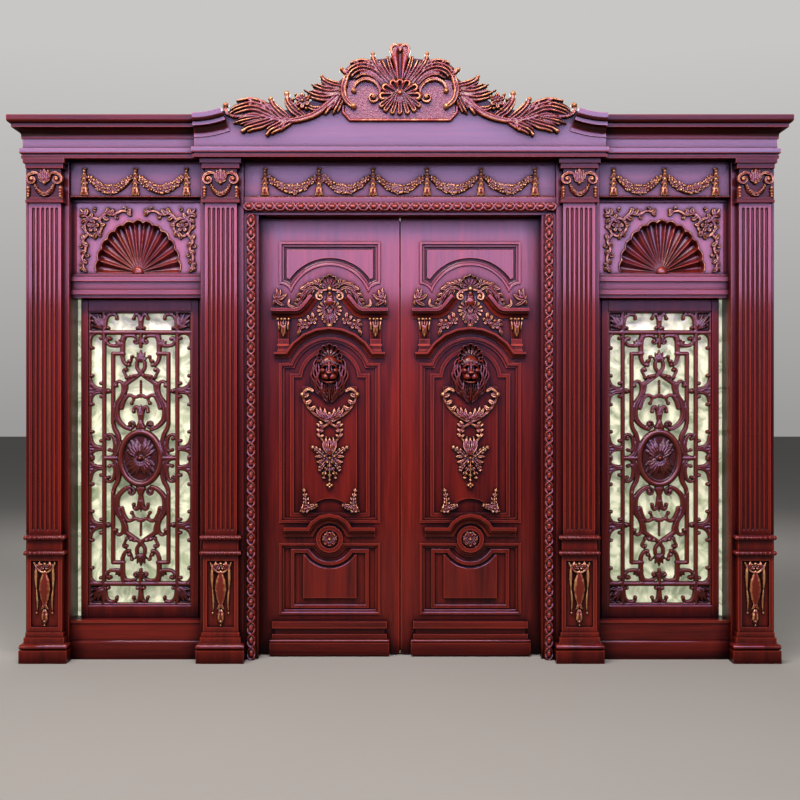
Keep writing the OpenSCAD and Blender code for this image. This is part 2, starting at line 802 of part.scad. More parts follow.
// Sidelights: base panel, sash with grille, and glass
module base_panel() {
    color(wood) union() {
        box(-bay_w / 2, bay_w / 2, -base_panel_d, 0, 0, base_panel_h);
        box(-bay_w / 2, bay_w / 2, -base_panel_d - skirt_out, 0, 0, skirt_h);
        translate([0, -base_panel_d, skirt_h]) rotate([0, 90, 0])
            cylinder(bay_w, r = skirt_out * torus_share, center = true);
        box(
            -bay_w / 2, bay_w / 2, -base_panel_d - skirt_out * eye_share, 0,
            base_panel_h - skirt_out, base_panel_h
        );
    }
}
torus_share = 0.8;
module band_ring(c, r, w, a0, a1) {
    translate(c) intersection() {
        difference() {
            circle(r + w / 2, $fn = disc_fn);
            circle(r - w / 2, $fn = disc_fn);
        }
        polygon(concat([[0, 0]], arc([0, 0], 2 * r, 2 * r, a0, a1, 8)));
    }
}
// Scrolls of a quarter of the grille: centre, radius, start, end, as shares of its half width
grille_shares = [
    [0.12, 2.25, 0.09, -90, 200], [0.31, 2.14, 0.12, -20, 250], [0.235, 1.905, 0.1, 20, 320],
    [0.22, 1.7, 0.24, -30, 150], [0.19, 1.6, 0.25, -60, 60], [0.42, 1.49, 0.1, 150, 420],
    [0.16, 1.15, 0.11, -120, 180], [0.33, 1.1, 0.2, -60, 120], [0.26, 0.82, 0.25, -120, 70],
    [0.2, 0.7, 0.1, 0, 300], [0.57, 0.27, 0.12, 60, 300]
];
grille_leaf_shares = [
    [0.99, 2.86, 0.74, 2.54, 0.22], [0.99, 1.46, 0.72, 1.3, 0.16], [0.99, 1.24, 0.72, 1.4, 0.16],
    [0.99, 0.3, 0.7, 0.16, 0.16], [0.03, 2.86, 0.2, 2.5, 0.16], [0.02, 1.25, 0.02, 0.82, 0.14]
];
grille_half_share = 0.685;
grille_top_share = 2.44;
grille_inner_share = 0.527;
grille_inner_top_share = 2.03;
grille_inner_low_share = 0.4;
grille_stub_share = 0.3;
oval_shares = [0.46, 0.53];
oval_band_share = 0.1;
module flat_leaf(q, u) {
    d = [q[2] - q[0], q[3] - q[1]];
    l = u * norm(d);
    translate(u * [q[0], q[1]]) rotate(atan2(d.y, d.x)) polygon([
        [0, -u * q[4] * root_share], [l * belly_share, -u * q[4] / 2], [l, -u * q[4] * root_share],
        [l, u * q[4] * root_share], [l * belly_share, u * q[4] / 2], [0, u * q[4] * root_share]
    ]);
}
module bar(x0, x1, z0, z1) {
    translate([x0, z0]) square([x1 - x0, z1 - z0]);
}
module grille_quarter(u, v) {
    b = bar_w / 2;
    h = u * grille_half_share;
    t = u * grille_top_share;
    i = u * grille_inner_share;
    s = u * grille_inner_top_share;
    bar(u - b, u, -over, v);
    bar(-over, u, v - b, v);
    bar(h - b, h + b, -over, v - over);
    bar(-over, u - over, t - b, t + b);
    bar(i - b, i + b, u * grille_inner_low_share, s + b);
    bar(u * grille_stub_share, h, s - b, s + b);
    for (q = grille_shares) {
        band_ring(u * [q[0], q[1]], u * q[2], scroll_w, q[3], q[4]);
        for (a = [q[3], q[4]])
            translate(u * ([q[0], q[1]] + q[2] * [cos(a), sin(a)])) circle(scroll_w * torus_share,
                $fn = carve_fn);
    }
    for (q = grille_leaf_shares) flat_leaf(q, u);
    bar(u * oval_shares[0] - b, u - over, -over, b);
    bar(-over, b, u * oval_shares[1] - b, v - over);
    difference() {
        polygon(concat([[-over, -over]], [for (k = [0 : 6]) oval_point(u, k, 0)],
            [[-over, u * oval_shares[1]]]));
        polygon(concat(
            [[-2 * over, -2 * over], [u * (oval_shares[0] - oval_band_share), -2 * over]],
            [for (k = [0 : 6]) oval_point(u, k, oval_band_share)],
            [[-2 * over, u * (oval_shares[1] - oval_band_share)]]
        ));
    }
    for (a = [0, 45, 90]) rotate(a) flat_leaf([0, 0, oval_shares[0], 0, oval_band_share * 2], u);
}
function oval_point(u, k, o) = u * [(oval_shares[0] - o) * cos(90 * k / 6),
    (oval_shares[1] - o) * sin(90 * k / 6)];
module grille() {
    u = sash_w / 2 - sash_stile;
    z0 = base_panel_h;
    z1 = transom_z;
    v = (z1 - z0) / 2 - sash_rail;
    c = panel_clear;
    color(wood) {
        difference() {
            box(-sash_w / 2, sash_w / 2, -sash_d, -sash_d + sash_t, z0, z1);
            box(-u, u, -sash_d - over, -sash_d + sash_t + over, z0 + sash_rail, z1 - sash_rail);
        }
        translate([0, -sash_d + sash_t - step_h / 2, (z0 + z1) / 2]) run_y(grille_t)
            union() {
                both() grille_quarter(u - c, v - c);
                mirror([0, 1]) both() grille_quarter(u - c, v - c);
            }
    }
}
module glass() {
    color(pane) box(-bay_w / 2, bay_w / 2, -glass_d - glass_t, -glass_d, base_panel_h, transom_z);
}

// Door frame: jambs and head with the beaded ribbon
casing_share = 0.2;
ribbon_share = 0.485;
jamb_lip = jamb_w * casing_share;
module jamb_plan() {
    polygon([
        [0, -leaf_t - over / 2], [0, -jamb_d + jamb_lip], [jamb_lip, -jamb_d + jamb_lip],
            [jamb_lip, -jamb_d],
        [jamb_w, -jamb_d], [jamb_w, 0], [stop_cover, 0], [stop_cover, -leaf_t - over / 2]
    ]);
}
module ribbon(l, pitch) {
    n = floor(l / pitch);
    rotate_extrude() intersection() {
        square([bead_r, l]);
        union() {
            square([ribbon_r, l]);
            for (i = [0 : n - 1]) translate([0, (i + 0.5) * l / n]) circle(bead_r);
        }
    }
}
module jamb() {
    color(wood) union() {
        linear_extrude(door_h) jamb_plan();
        translate([jamb_w * ribbon_share, -jamb_d, 0]) ribbon(door_h, bead_pitch);
    }
}
module head() {
    w = door_w + 2 * jamb_w;
    color(wood) union() {
        rotate([90, 0, 90]) linear_extrude(w, center = true) polygon([
            [-leaf_t - over / 2, 0], [-jamb_d + jamb_lip, 0], [-jamb_d + jamb_lip, jamb_lip],
                [-jamb_d, jamb_lip],
            [-jamb_d, head_h], [0, head_h], [0, stop_cover], [-leaf_t - over / 2, stop_cover]
        ]);
        translate([-w / 2, -jamb_d, jamb_w * ribbon_share + jamb_lip / 2]) rotate([0, 90, 0])
            ribbon(w, head_bead_pitch);
    }
}

// Door leaf
arch_r = (arch_half * arch_half + arch_rise * arch_rise) / (2 * arch_rise);
module upper_outline(o) {
    difference() {
        translate([-opening_half + o, upper_z + o]) square([2 * (opening_half - o),
            upper_top_z - upper_z - 2 * o]);
        translate([0, crown_z - crown_r]) circle(crown_r + o);
        both() translate([opening_half, upper_z]) circle(scoop_r + o);
    }
}
module middle_outline(o, low) {
    translate([-opening_half + o, middle_z + low]) square([2 * (opening_half - o),
        shoulder_z - middle_z - o - low]);
    intersection() {
        translate([0, shoulder_z + arch_rise - arch_r]) circle(arch_r - o);
        translate([-arch_half, middle_z + 2 * o])
            square([2 * arch_half, shoulder_z - middle_z + arch_rise]);
    }
}
module middle_field() {
    difference() {
        middle_outline(middle_inset, field_margin);
        translate([0, middle_z]) circle(field_scoop_r);
    }
}
module lower_outline(o, low, top, c) {
    difference() {
        translate([-opening_half + o, bottom_rail_z + low])
            square([2 * (opening_half - o), lower_top_z - bottom_rail_z - low - top]);
        translate([0, ring_z]) circle(ring_r + c);
    }
}
module slab(front, back) {
    translate([0, -back, 0]) run_y(front - back) children();
}
module leaf_frame() {
    color(wood) slab(leaf_t, 0) difference() {
        translate([-leaf_w / 2, floor_gap]) square([leaf_w, leaf_top - floor_gap]);
        upper_outline(0);
        middle_outline(0, 0);
        lower_outline(0, 0, 0, 0);
    }
}
module upper_panel() {
    g = leaf_t - ground_sink;
    c = panel_clear;
    color(wood) union() {
        slab(g, g - panel_t) upper_outline(c);
        slab(leaf_t + mould_proud, g - over) difference() {
            upper_outline(c);
            upper_outline(mould_w * eye_share);
        }
        slab(leaf_t - mould_proud / 2, g - over) difference() {
            upper_outline(c);
            upper_outline(mould_w);
        }
        slab(leaf_t, g - over) upper_outline(upper_inset);
    }
}
module middle_panel() {
    g = leaf_t - ground_sink;
    c = panel_clear;
    m = mould_w;
    color(wood) union() {
        slab(g, g - panel_t) middle_outline(c, c);
        slab(leaf_t + mould_proud, g - over) difference() {
            middle_outline(c, c);
            middle_outline(m * eye_share, m * eye_share);
        }
        slab(leaf_t - mould_proud / 2, g - over) difference() {
            middle_outline(c, c);
            middle_outline(m, m);
        }
        slab(leaf_t - mould_proud / 2, g - over) difference() {
            middle_outline(inner_inset, inner_low);
            middle_outline(inner_inset + inner_w, inner_low + inner_w);
        }
        slab(leaf_t, g - over) middle_field();
    }
}
module lower_panel() {
    g = leaf_t - ground_sink;
    c = panel_clear;
    m = mould_w;
    k = m * eye_share;
    i = lower_inner_inset;
    color(wood) union() {
        slab(g, g - panel_t) lower_outline(c, c, c, c);
        slab(leaf_t + mould_proud, g - over) difference() {
            lower_outline(c, c, c, c);
            lower_outline(k, k, k, k);
        }
        slab(leaf_t - mould_proud / 2, g - over) difference() {
            lower_outline(c, c, c, c);
            lower_outline(m, m, m, m);
        }
        slab(leaf_t - mould_proud / 2, g - over) difference() {
            lower_outline(i, inner_low, inner_low, inner_low + inner_w);
            lower_outline(i + inner_w, inner_low + inner_w, inner_low + inner_w, inner_low + 2 * inner_w);
        }
        slab(leaf_t, g - over) lower_outline(lower_inset, lower_low, lower_low * lower_top_share,
            lower_low);
    }
}
lower_top_share = 0.72;
bow_shares = [
    [0.27, 1], [0.32, 0.78], [0.37, 0.54], [0.42, 0.32], [0.47, 0.14], [0.52, 0.04], [0.57, 0], [1, 0]
];
bow_rise_share = 1.6;
function bow_path(o) = let (p = [for (q = bow_shares) [cornice_half * q[0],
    cornice_z + cornice_h * bow_rise_share * q[1]]])
    concat([p[0] - o * unit(p[1] - p[0])], [for (i = [1 : len(p) - 2]) p[i]], [p[len(p) - 1] + [o, 0]]);
brow_lift_share = 0.2;
bracket_x_share = 0.79;
bracket_shares = [0.115, 2.35, 0.75, 0.55];
module arch_cornice() {
    seat = leaf_t;
    brow_r = arch_r + brow_h;
    brow_c = shoulder_z + arch_rise - arch_r + mould_w * brow_lift_share;
    brow_a = asin((shoulder_z + mould_w - brow_c + brow_h / 2) / brow_r);
    bw = cornice_half * bracket_shares[0];
    z0 = cornice_z - cornice_h / 2;
    color(wood) stand(seat, 0) {
        both() sweep(
            bow_path(0),
            cornice_section(cornice_out, cornice_h)
        );
        sweep(
            concat(
                [[-brow_half, brow_c + brow_r * sin(brow_a)]],
                arc([0, brow_c], brow_r, brow_r, 180 - brow_a, brow_a, 8),
                [[brow_half, brow_c + brow_r * sin(brow_a)]]
            ),
            cornice_section(cornice_out, brow_h)
        );
        both() {
            translate([cornice_half * bracket_x_share, z0 - cornice_h * bracket_shares[1] / 2 - over]) {
                hull() {
                    bar3(bw, cornice_h * bracket_shares[1] / 2, cornice_out * bracket_shares[3], 1);
                    bar3(bw * bracket_shares[2], -cornice_h, cornice_out * bracket_shares[3] / 2, 1);
                }
                lobe([0, cornice_h * bracket_shares[1] / 2], [0, -cornice_h],
                    bw * 2 * bracket_shares[2], cornice_out);
                lobe([-bw / 2, cornice_h], [-bw / 2, -cornice_h / 2], bw * bracket_shares[3],
                    cornice_out * bracket_shares[2]);
                lobe([bw / 2, cornice_h], [bw / 2, -cornice_h / 2], bw * bracket_shares[3],
                    cornice_out * bracket_shares[2]);
            }
        }
    }
}
module bar3(w, z, h, k) {
    translate([-w, z - k * over, 0]) cube([2 * w, over, h]);
}
cartouche_leaf_shares = [
    [0.36, -0.12, 0.6, 0.28, 0.14], [0.48, -0.16, 0.78, 0.12, 0.14], [0.62, -0.2, 0.96, -0.06, 0.14],
    [0.06, -0.34, 0.26, -0.6, 0.14], [0.34, -0.76, 0.62, -0.6, 0.12], [0.4, -0.76, 0.7, -0.8, 0.12],
    [0.44, -0.72, 0.46, -0.52, 0.1], [1.2, -0.2, 1.26, 0.1, 0.1], [1.22, -0.2, 1.38, -0.02, 0.1]
];
cartouche_shell_shares = [0, 0.12, 0.06, 0.36];
cartouche_fan_share = 0.19;
cartouche_volute_shares = [0.25, -0.06, 0.11];
cartouche_drop_shares = [[0, -0.3, 0, -0.76, 0.16]];
module cartouche() {
    u = cartouche_r;
    s = cartouche_shell_shares;
    v = cartouche_volute_shares;
    k = cornice_h / 2 + panel_clear;
    color(carved) stand(leaf_t, 0) difference() {
        translate([0, cartouche_z]) union() {
            fan(u * [s[0], s[1]], u * s[2], u * s[3], 20, 160, 5, u * cartouche_fan_share, leaf_relief);
            fan(u * [s[0], v[1]], u * s[2], u * s[3], -130, -50, 3, u * shell_lobe_share, leaf_relief);
            boss([0, 0], u * s[1] * 2, leaf_relief);
            lobes(cartouche_drop_shares, u, leaf_relief);
            both() {
                lobes(cartouche_leaf_shares, u, leaf_relief);
                stroke(
                    arc(u * [v[0], v[1]], u * v[2], u * v[2] * eye_share, 150, -210, 4),
                    u * v[2] * eye_share, u * v[2] * eye_share, leaf_relief
                );
                boss(u * [v[0], v[1]], u * v[2] * eye_share, leaf_relief);
            }
        }
        both() sweep(bow_path(over), [[-over, k], [-over, -k], [cornice_out, -k], [cornice_out, k]]);
    }
}
mane_lobes = 10;
mane_shares = [0.5, 1, 1.5];
face_shares = [0.52, 0.62, 0.3, 0.3, 0.74];
crest_fan_shares = [0.72, 0.12, 0.76];
brow_lobe_shares = [[0.08, 0.32, 0.5, 0.42, 0.2], [0.34, 0.4, 0.62, 0.86, 0.3],
    [0.1, -0.3, 0.36, -0.46, 0.26]];
module lion_mask() {
    u = lion_r;
    h = lion_d;
    f = face_shares;
    color(carved) stand(leaf_t, lion_z) {
        for (i = [0 : mane_lobes - 1]) {
            a = -90 + (i + 0.5) * 360 / mane_lobes;
            s = sin(a) < 0 ? mane_shares[2] : mane_shares[0] + mane_shares[0] * eye_share;
            lobe(
                u * mane_shares[0] * eye_share * [cos(a), sin(a)],
                u * mane_shares[1] * [cos(a), sin(a) * s], u * mane_shares[0], h * mane_shares[0]
            );
        }
        hull() {
            cylinder(h * eye_share, r = u * f[1], $fn = carve_fn);
            translate([0, u * f[3] * eye_share]) cylinder(h * f[4], r = u * f[2], $fn = carve_fn);
        }
        hull() {
            translate([0, -u * f[3]]) cylinder(h * f[4], r = u * f[0] * f[4], $fn = carve_fn);
            translate([0, -u * f[3]]) cylinder(h, r = u * f[2] * f[4], $fn = carve_fn);
        }
        hull() {
            translate([0, -u * f[3] * eye_share]) cylinder(h, r = u * shell_lobe_share, $fn = carve_fn);
            translate([0, u * f[2]]) cylinder(h * f[4], r = u * shell_lobe_share, $fn = carve_fn);
        }
        both() lobes(brow_lobe_shares, u, h * f[4] + mould_proud);
        fan(
            [0, u * crest_fan_shares[0]], u * crest_fan_shares[1], u * crest_fan_shares[2], 14, 166, 5,
            u * f[2], leaf_relief
        );
    }
}
garland_line_shares = [[0.92, 1.12], [0.66, 0.6], [0.1, 0.08], [-0.42, -0.42], [-0.1, -0.62]];
garland_leaf_shares = [
    [0.86, 1.1, 0.98, 0.78, 0.16], [0.8, 1.0, 0.6, 1.26, 0.18], [0.88, 1.08, 0.94, 1.34, 0.18],
    [0.0, -0.72, 0.52, -0.84, 0.26], [0.04, -0.84, 0.7, -1.0, 0.26], [0.04, -1.0, 0.6, -1.26, 0.26],
    [0.04, -1.2, 0.4, -1.62, 0.24], [0.62, -2.98, 0.82, -2.5, 0.2], [0.86, -3.08, 0.92, -2.6, 0.18]
];
garland_drop_shares = [[0, -0.5, 0, -1.3, 0.5], [0, -1.1, 0, -2.34, 0.34]];
module garland() {
    u = garland_r;
    color(carved) stand(leaf_t, garland_z) {
        lobes(garland_drop_shares, u, leaf_relief);
        both() {
            stroke(scaled(garland_line_shares, u), u * oval_band_share, u * oval_band_share,
                leaf_relief * eye_share);
            lobes(garland_leaf_shares, u, leaf_relief);
        }
    }
}
sill_lift_share = 0.5;
sill_ring_share = 1.55;
ring_band_share = 0.3;
petal_count = 8;
module lower_cornice() {
    r = ring_r * sill_ring_share;
    z = lower_top_z + (middle_z - lower_top_z) * sill_lift_share + mould_proud;
    a = asin((z - ring_z) / r);
    color(wood) stand(leaf_t, 0) {
        difference() {
            sweep(
                concat(
                    [[-sill_half, z]],
                    arc([0, ring_z], r, r, 180 - a, a, 6),
                    [[sill_half, z]]
                ),
                cornice_section(cornice_out, sill_h)
            );
            translate([0, ring_z, -over]) cylinder(cornice_out + 2 * over, r = ring_r + over,
                $fn = disc_fn);
            translate([-opening_half, middle_z, -over])
                cube([2 * opening_half, ring_r, over + mould_proud + panel_clear]);
        }
        translate([0, ring_z]) {
            cylinder(mould_proud, r = ring_r - panel_clear, $fn = disc_fn);
            difference() {
                cylinder(cornice_out * eye_share, r = ring_r - panel_clear, $fn = disc_fn);
                translate([0, 0, -over]) cylinder(cornice_out, r = ring_r * (1 - ring_band_share),
                    $fn = disc_fn);
            }
        }
        fan([0, ring_z], rosette_r * root_share, rosette_r, 0, 315, petal_count,
            rosette_r * ring_band_share * 2, leaf_relief);
        boss([0, ring_z], rosette_r * ring_band_share, leaf_relief + over);
    }
}
skirting_step_shares = [0.62, 0.8];
module skirting_profile(d) {
    t = skirting_top - floor_gap;
    square([d, t]);
    square([d + skirting_out, skirting_h]);
    translate([0, skirting_h]) square([d + skirting_out - torus_r * eye_share, torus_r]);
    translate([d + skirting_out - torus_r * eye_share,
        skirting_h + torus_r * eye_share]) circle(torus_r * eye_share);
    square([d + skirting_out * eye_share, t * skirting_step_shares[0]]);
    translate([0, t * skirting_step_shares[1]]) square([d + skirting_out * eye_share,
        t * (1 - skirting_step_shares[1])]);
}
module leaf_base() {
    color(wood) translate([0, -leaf_t, floor_gap]) intersection() {
        run_x(2 * (skirting_half + 2 * skirting_out)) skirting_profile(skirting_d);
        run_y(skirting_d + 2 * skirting_out) both() skirting_profile(skirting_half);
    }
}

// Hinges: frame leaves carry the pins, door leaves turn on them
hinge_z_shares = [0.09, 0.35, 0.61, 0.9];
knuckles = 5;
module knuckle_set(first, r) {
    s = hinge_l / knuckles;
    for (k = [first : 2 : knuckles - 1])
        translate([0, 0, k * s + knuckle_gap / 2]) cylinder(s - knuckle_gap, r = r);
}
module plate_tabs(first, x0, x1) {
    s = hinge_l / knuckles;
    for (k = [first : 2 : knuckles - 1])
        box(x0, x1, -axis_back - over, -pin_r - over, k * s + knuckle_gap / 2,
            (k + 1) * s - knuckle_gap / 2);
}
module hinge_frame_leaf() {
    x1 = hinge_gap / 2;
    union() {
        knuckle_set(0, knuckle_r);
        cylinder(hinge_l, r = pin_r);
        plate_tabs(0, x1 - plate_t, x1);
        box(x1 - plate_t, x1, -axis_back - plate_w, -axis_back - over / 2, 0, hinge_l);
    }
}
module hinge_door_leaf() {
    x0 = -hinge_gap / 2;
    difference() {
        union() {
            knuckle_set(1, knuckle_r);
            plate_tabs(1, x0, x0 + plate_t);
            box(x0, x0 + plate_t, -axis_back - plate_w, -axis_back - over / 2, 0, hinge_l);
        }
        translate([0, 0, -over]) cylinder(hinge_l + 2 * over, r = pin_r + pin_clear);
    }
}
module hinge_places() {
    for (q = hinge_z_shares) translate([pin_x, axis_back, leaf_top * q - hinge_l / 2]) children();
}

// Placing
module pilaster_at(x) {
    translate([x, shift_y, 0]) children();
}
module bay_at(s) {
    translate([0, shift_y, 0]) side(s) translate([bay_x, 0, 0]) children();
}
module leaf_at(s) {
    translate([0, shift_y, 0]) side(s) translate([leaf_x, 0, 0]) children();
}
module frame_at(s) {
    translate([0, shift_y, 0]) side(s) children();
}

pilaster_at(-outer_axis) post();  // post_outer_left
pilaster_at(-inner_axis) post();  // post_inner_left
pilaster_at(inner_axis) post();  // post_inner_right
pilaster_at(outer_axis) post();  // post_outer_right
pilaster_at(-outer_axis) shaft();  // shaft_outer_left
pilaster_at(-inner_axis) shaft();  // shaft_inner_left
pilaster_at(inner_axis) shaft();  // shaft_inner_right
pilaster_at(outer_axis) shaft();  // shaft_outer_right
pilaster_at(-outer_axis) capital();  // capital_outer_left
pilaster_at(-inner_axis) capital();  // capital_inner_left
pilaster_at(inner_axis) capital();  // capital_inner_right
pilaster_at(outer_axis) capital();  // capital_outer_right
pilaster_at(-outer_axis) pedestal();  // pedestal_outer_left
pilaster_at(-inner_axis) pedestal();  // pedestal_inner_left
pilaster_at(inner_axis) pedestal();  // pedestal_inner_right
pilaster_at(outer_axis) pedestal();  // pedestal_outer_right
frame_at(-1) cornice();  // cornice_left
frame_at(1) cornice();  // cornice_right
frame_at(1) pediment();
frame_at(1) crest_carving();
bay_at(-1) frieze(bay_w);  // frieze_left
frame_at(1) frieze(door_w + 2 * jamb_w);  // frieze_center
bay_at(1) frieze(bay_w);  // frieze_right
bay_at(-1) swags(bay_w * side_pitch_share, 2);  // swags_left
frame_at(1) swags(door_w * center_pitch_share, 5);  // swags_center
bay_at(1) swags(bay_w * side_pitch_share, 2);  // swags_right
bay_at(-1) shell_panel();  // shell_panel_left
bay_at(1) shell_panel();  // shell_panel_right
bay_at(-1) grille();  // grille_left
bay_at(1) grille();  // grille_right
bay_at(-1) glass();  // glass_left
bay_at(1) glass();  // glass_right
bay_at(-1) base_panel();  // base_panel_left
bay_at(1) base_panel();  // base_panel_right
frame_at(-1) translate([door_w / 2, 0, 0]) jamb();  // jamb_left
frame_at(1) translate([door_w / 2, 0, 0]) jamb();  // jamb_right
frame_at(1) translate([0, 0, door_h]) head();
color(metal) {  // hinge_frame_leaves
        frame_at(-1) hinge_places() hinge_frame_leaf();
        frame_at(1) hinge_places() hinge_frame_leaf();
    }
leaf_at(-1) leaf_frame();  // leaf_frame_left
leaf_at(1) leaf_frame();  // leaf_frame_right
leaf_at(-1) upper_panel();  // upper_panel_left
leaf_at(1) upper_panel();  // upper_panel_right
leaf_at(-1) middle_panel();  // middle_panel_left
leaf_at(1) middle_panel();  // middle_panel_right
leaf_at(-1) lower_panel();  // lower_panel_left
leaf_at(1) lower_panel();  // lower_panel_right
leaf_at(-1) arch_cornice();  // arch_cornice_left
leaf_at(1) arch_cornice();  // arch_cornice_right
leaf_at(-1) cartouche();  // cartouche_left
leaf_at(1) cartouche();  // cartouche_right
leaf_at(-1) lion_mask();  // lion_mask_left
leaf_at(1) lion_mask();  // lion_mask_right
leaf_at(-1) garland();  // garland_left
leaf_at(1) garland();  // garland_right
leaf_at(-1) lower_cornice();  // lower_cornice_left
leaf_at(1) lower_cornice();  // lower_cornice_right
leaf_at(-1) leaf_base();  // leaf_base_left
leaf_at(1) leaf_base();  // leaf_base_right
color(metal) frame_at(-1) hinge_places() hinge_door_leaf();  // hinge_door_leaves_left
color(metal) frame_at(1) hinge_places() hinge_door_leaf();  // hinge_door_leaves_right
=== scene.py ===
"""Dresses the carved entrance door: lacquered mahogany, gilded carving, cloudy glass and brass."""

from __future__ import annotations

import json
import logging
import math
from dataclasses import dataclass, field
from enum import Enum
from typing import Callable, Sequence

import bmesh
import bpy
import numpy as np
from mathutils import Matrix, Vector

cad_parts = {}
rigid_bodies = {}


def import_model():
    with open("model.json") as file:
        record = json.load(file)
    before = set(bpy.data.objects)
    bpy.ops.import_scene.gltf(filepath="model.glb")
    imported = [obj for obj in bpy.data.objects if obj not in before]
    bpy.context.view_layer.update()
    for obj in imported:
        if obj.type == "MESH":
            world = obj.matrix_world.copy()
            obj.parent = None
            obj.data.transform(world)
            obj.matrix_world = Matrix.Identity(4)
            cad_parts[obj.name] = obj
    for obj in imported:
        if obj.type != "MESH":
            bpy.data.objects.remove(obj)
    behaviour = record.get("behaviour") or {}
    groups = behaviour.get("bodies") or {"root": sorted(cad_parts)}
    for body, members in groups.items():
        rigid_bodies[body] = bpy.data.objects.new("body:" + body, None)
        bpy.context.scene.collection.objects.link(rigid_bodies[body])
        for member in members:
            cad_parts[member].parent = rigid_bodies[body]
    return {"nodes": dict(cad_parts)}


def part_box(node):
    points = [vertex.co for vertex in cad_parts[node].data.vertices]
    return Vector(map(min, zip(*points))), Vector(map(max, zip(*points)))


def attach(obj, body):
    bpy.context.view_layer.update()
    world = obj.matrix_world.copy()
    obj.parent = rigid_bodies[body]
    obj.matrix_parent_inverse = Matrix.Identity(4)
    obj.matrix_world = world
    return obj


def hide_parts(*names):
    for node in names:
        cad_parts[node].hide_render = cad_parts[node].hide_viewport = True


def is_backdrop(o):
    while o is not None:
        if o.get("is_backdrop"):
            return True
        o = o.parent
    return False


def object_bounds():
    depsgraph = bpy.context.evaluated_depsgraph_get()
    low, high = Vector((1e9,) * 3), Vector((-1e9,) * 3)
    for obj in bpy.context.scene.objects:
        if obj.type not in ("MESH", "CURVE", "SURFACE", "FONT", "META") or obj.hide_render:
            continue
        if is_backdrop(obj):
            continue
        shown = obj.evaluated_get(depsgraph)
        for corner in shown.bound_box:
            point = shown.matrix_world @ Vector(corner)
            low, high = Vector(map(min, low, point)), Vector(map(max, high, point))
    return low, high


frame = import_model()
CAD_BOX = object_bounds()

log = logging.getLogger("carved_door")
Point = tuple[float, float]
Spot = tuple[float, float, float]
Path = Sequence[Point]
Rgb = tuple[float, float, float, float]
Socket, Node, Tree = bpy.types.NodeSocket, bpy.types.Node, bpy.types.NodeTree
Material, Mesh = bpy.types.Material, bpy.types.Mesh
Place = Callable[[np.ndarray, np.ndarray, np.ndarray], np.ndarray]

MM = 0.001
SHIFT_Y = 178.5  # row y of the back plane, in millimetres
LEAF_X = 433.0  # middle of each door leaf
BAY_X = 1602.5  # middle of each sidelight
BAY_FOOT, BAY_TOP = 233.0, 2193.2  # foot and top of the sidelights' sashes
DOOR_HEIGHT = 2695.0
PILASTERS = {"outer_left": -2130.0, "inner_left": -1075.0, "inner_right": 1075.0, "outer_right": 2130.0}
SIDES = {"left": -1.0, "right": 1.0}
OUTSIDE = -1e3  # how deep an untouched point of a carving lies inside it, in millimetres
SEAT = -1.0  # how high the foot of a seated carving is over its ground, in millimetres
AO_SAMPLES = 6  # rays that look for a recess or an edge


class Grain(Enum):
    """The way that the grain of a board runs."""

    UPRIGHT = "upright"
    LEVEL = "level"


class Back(Enum):
    """How the hidden side of a carving is closed."""

    SEATED = "seated"
    FLAT = "flat"


class Slot(Enum):
    """The record's materials that pieces of the scene are made of."""

    WOOD = "mahogany"
    GILT = "gilded_wood"


def row_y(depth: float) -> float:
    """Row y, in millimetres, of a face that stands this far in front of the back plane."""
    return SHIFT_Y - depth


def heading(degrees: float) -> np.ndarray:
    """The step of length 1 at an angle from level."""
    return np.array([math.cos(math.radians(degrees)), math.sin(math.radians(degrees))])


def fan_edge(middle: np.ndarray, radius: float, degrees: float, half: float, count: int) -> np.ndarray:
    """The arc that ends a shell's rib, half its angle to each side of the rib's way."""
    arc = np.radians(degrees + np.linspace(-half, half, count))
    return middle + radius * np.stack([np.cos(arc), np.sin(arc)], 1)


def curve(points: Path, count: int = 24) -> np.ndarray:
    """A smooth line through the points.

    Args:
        points: The points that the line passes, in order.
        count: How many points the result has.

    Returns:
        An array of count by 2 values.
    """
    p = np.asarray(points, float)
    if len(p) < 3:
        return np.linspace(p[0], p[-1], count)
    ends = np.vstack([2 * p[0] - p[1], p, 2 * p[-1] - p[-2]])
    out = []
    for t in np.linspace(0, len(p) - 1, count):
        i = min(int(t), len(p) - 2)
        f = t - i
        a, b, c, d = ends[i : i + 4]
        out.append(0.5 * (2 * b + (c - a) * f + (2 * a - 5 * b + 4 * c - d) * f**2 + (3 * b - a - 3 * c + d) * f**3))
    return np.array(out)


def spiral(center: Point, radius: float, start: float, turn: float, eye: float = 0.2, count: int = 40) -> np.ndarray:
    """The line of a scroll that winds in from its rim to its eye.

    Args:
        center: The middle of the eye.
        radius: The distance of the first point from the middle.
        start: The angle of the first point, in degrees.
        turn: How far the line winds, in degrees, positive to the left.
        eye: The last radius as a share of the first.
        count: How many points the line has.

    Returns:
        An array of count by 2 values.
    """
    t = np.linspace(0, 1, count)
    a = np.radians(start + turn * t)
    r = radius * (1 - (1 - eye) * t**0.85)
    return np.stack([center[0] + r * np.cos(a), center[1] + r * np.sin(a)], 1)


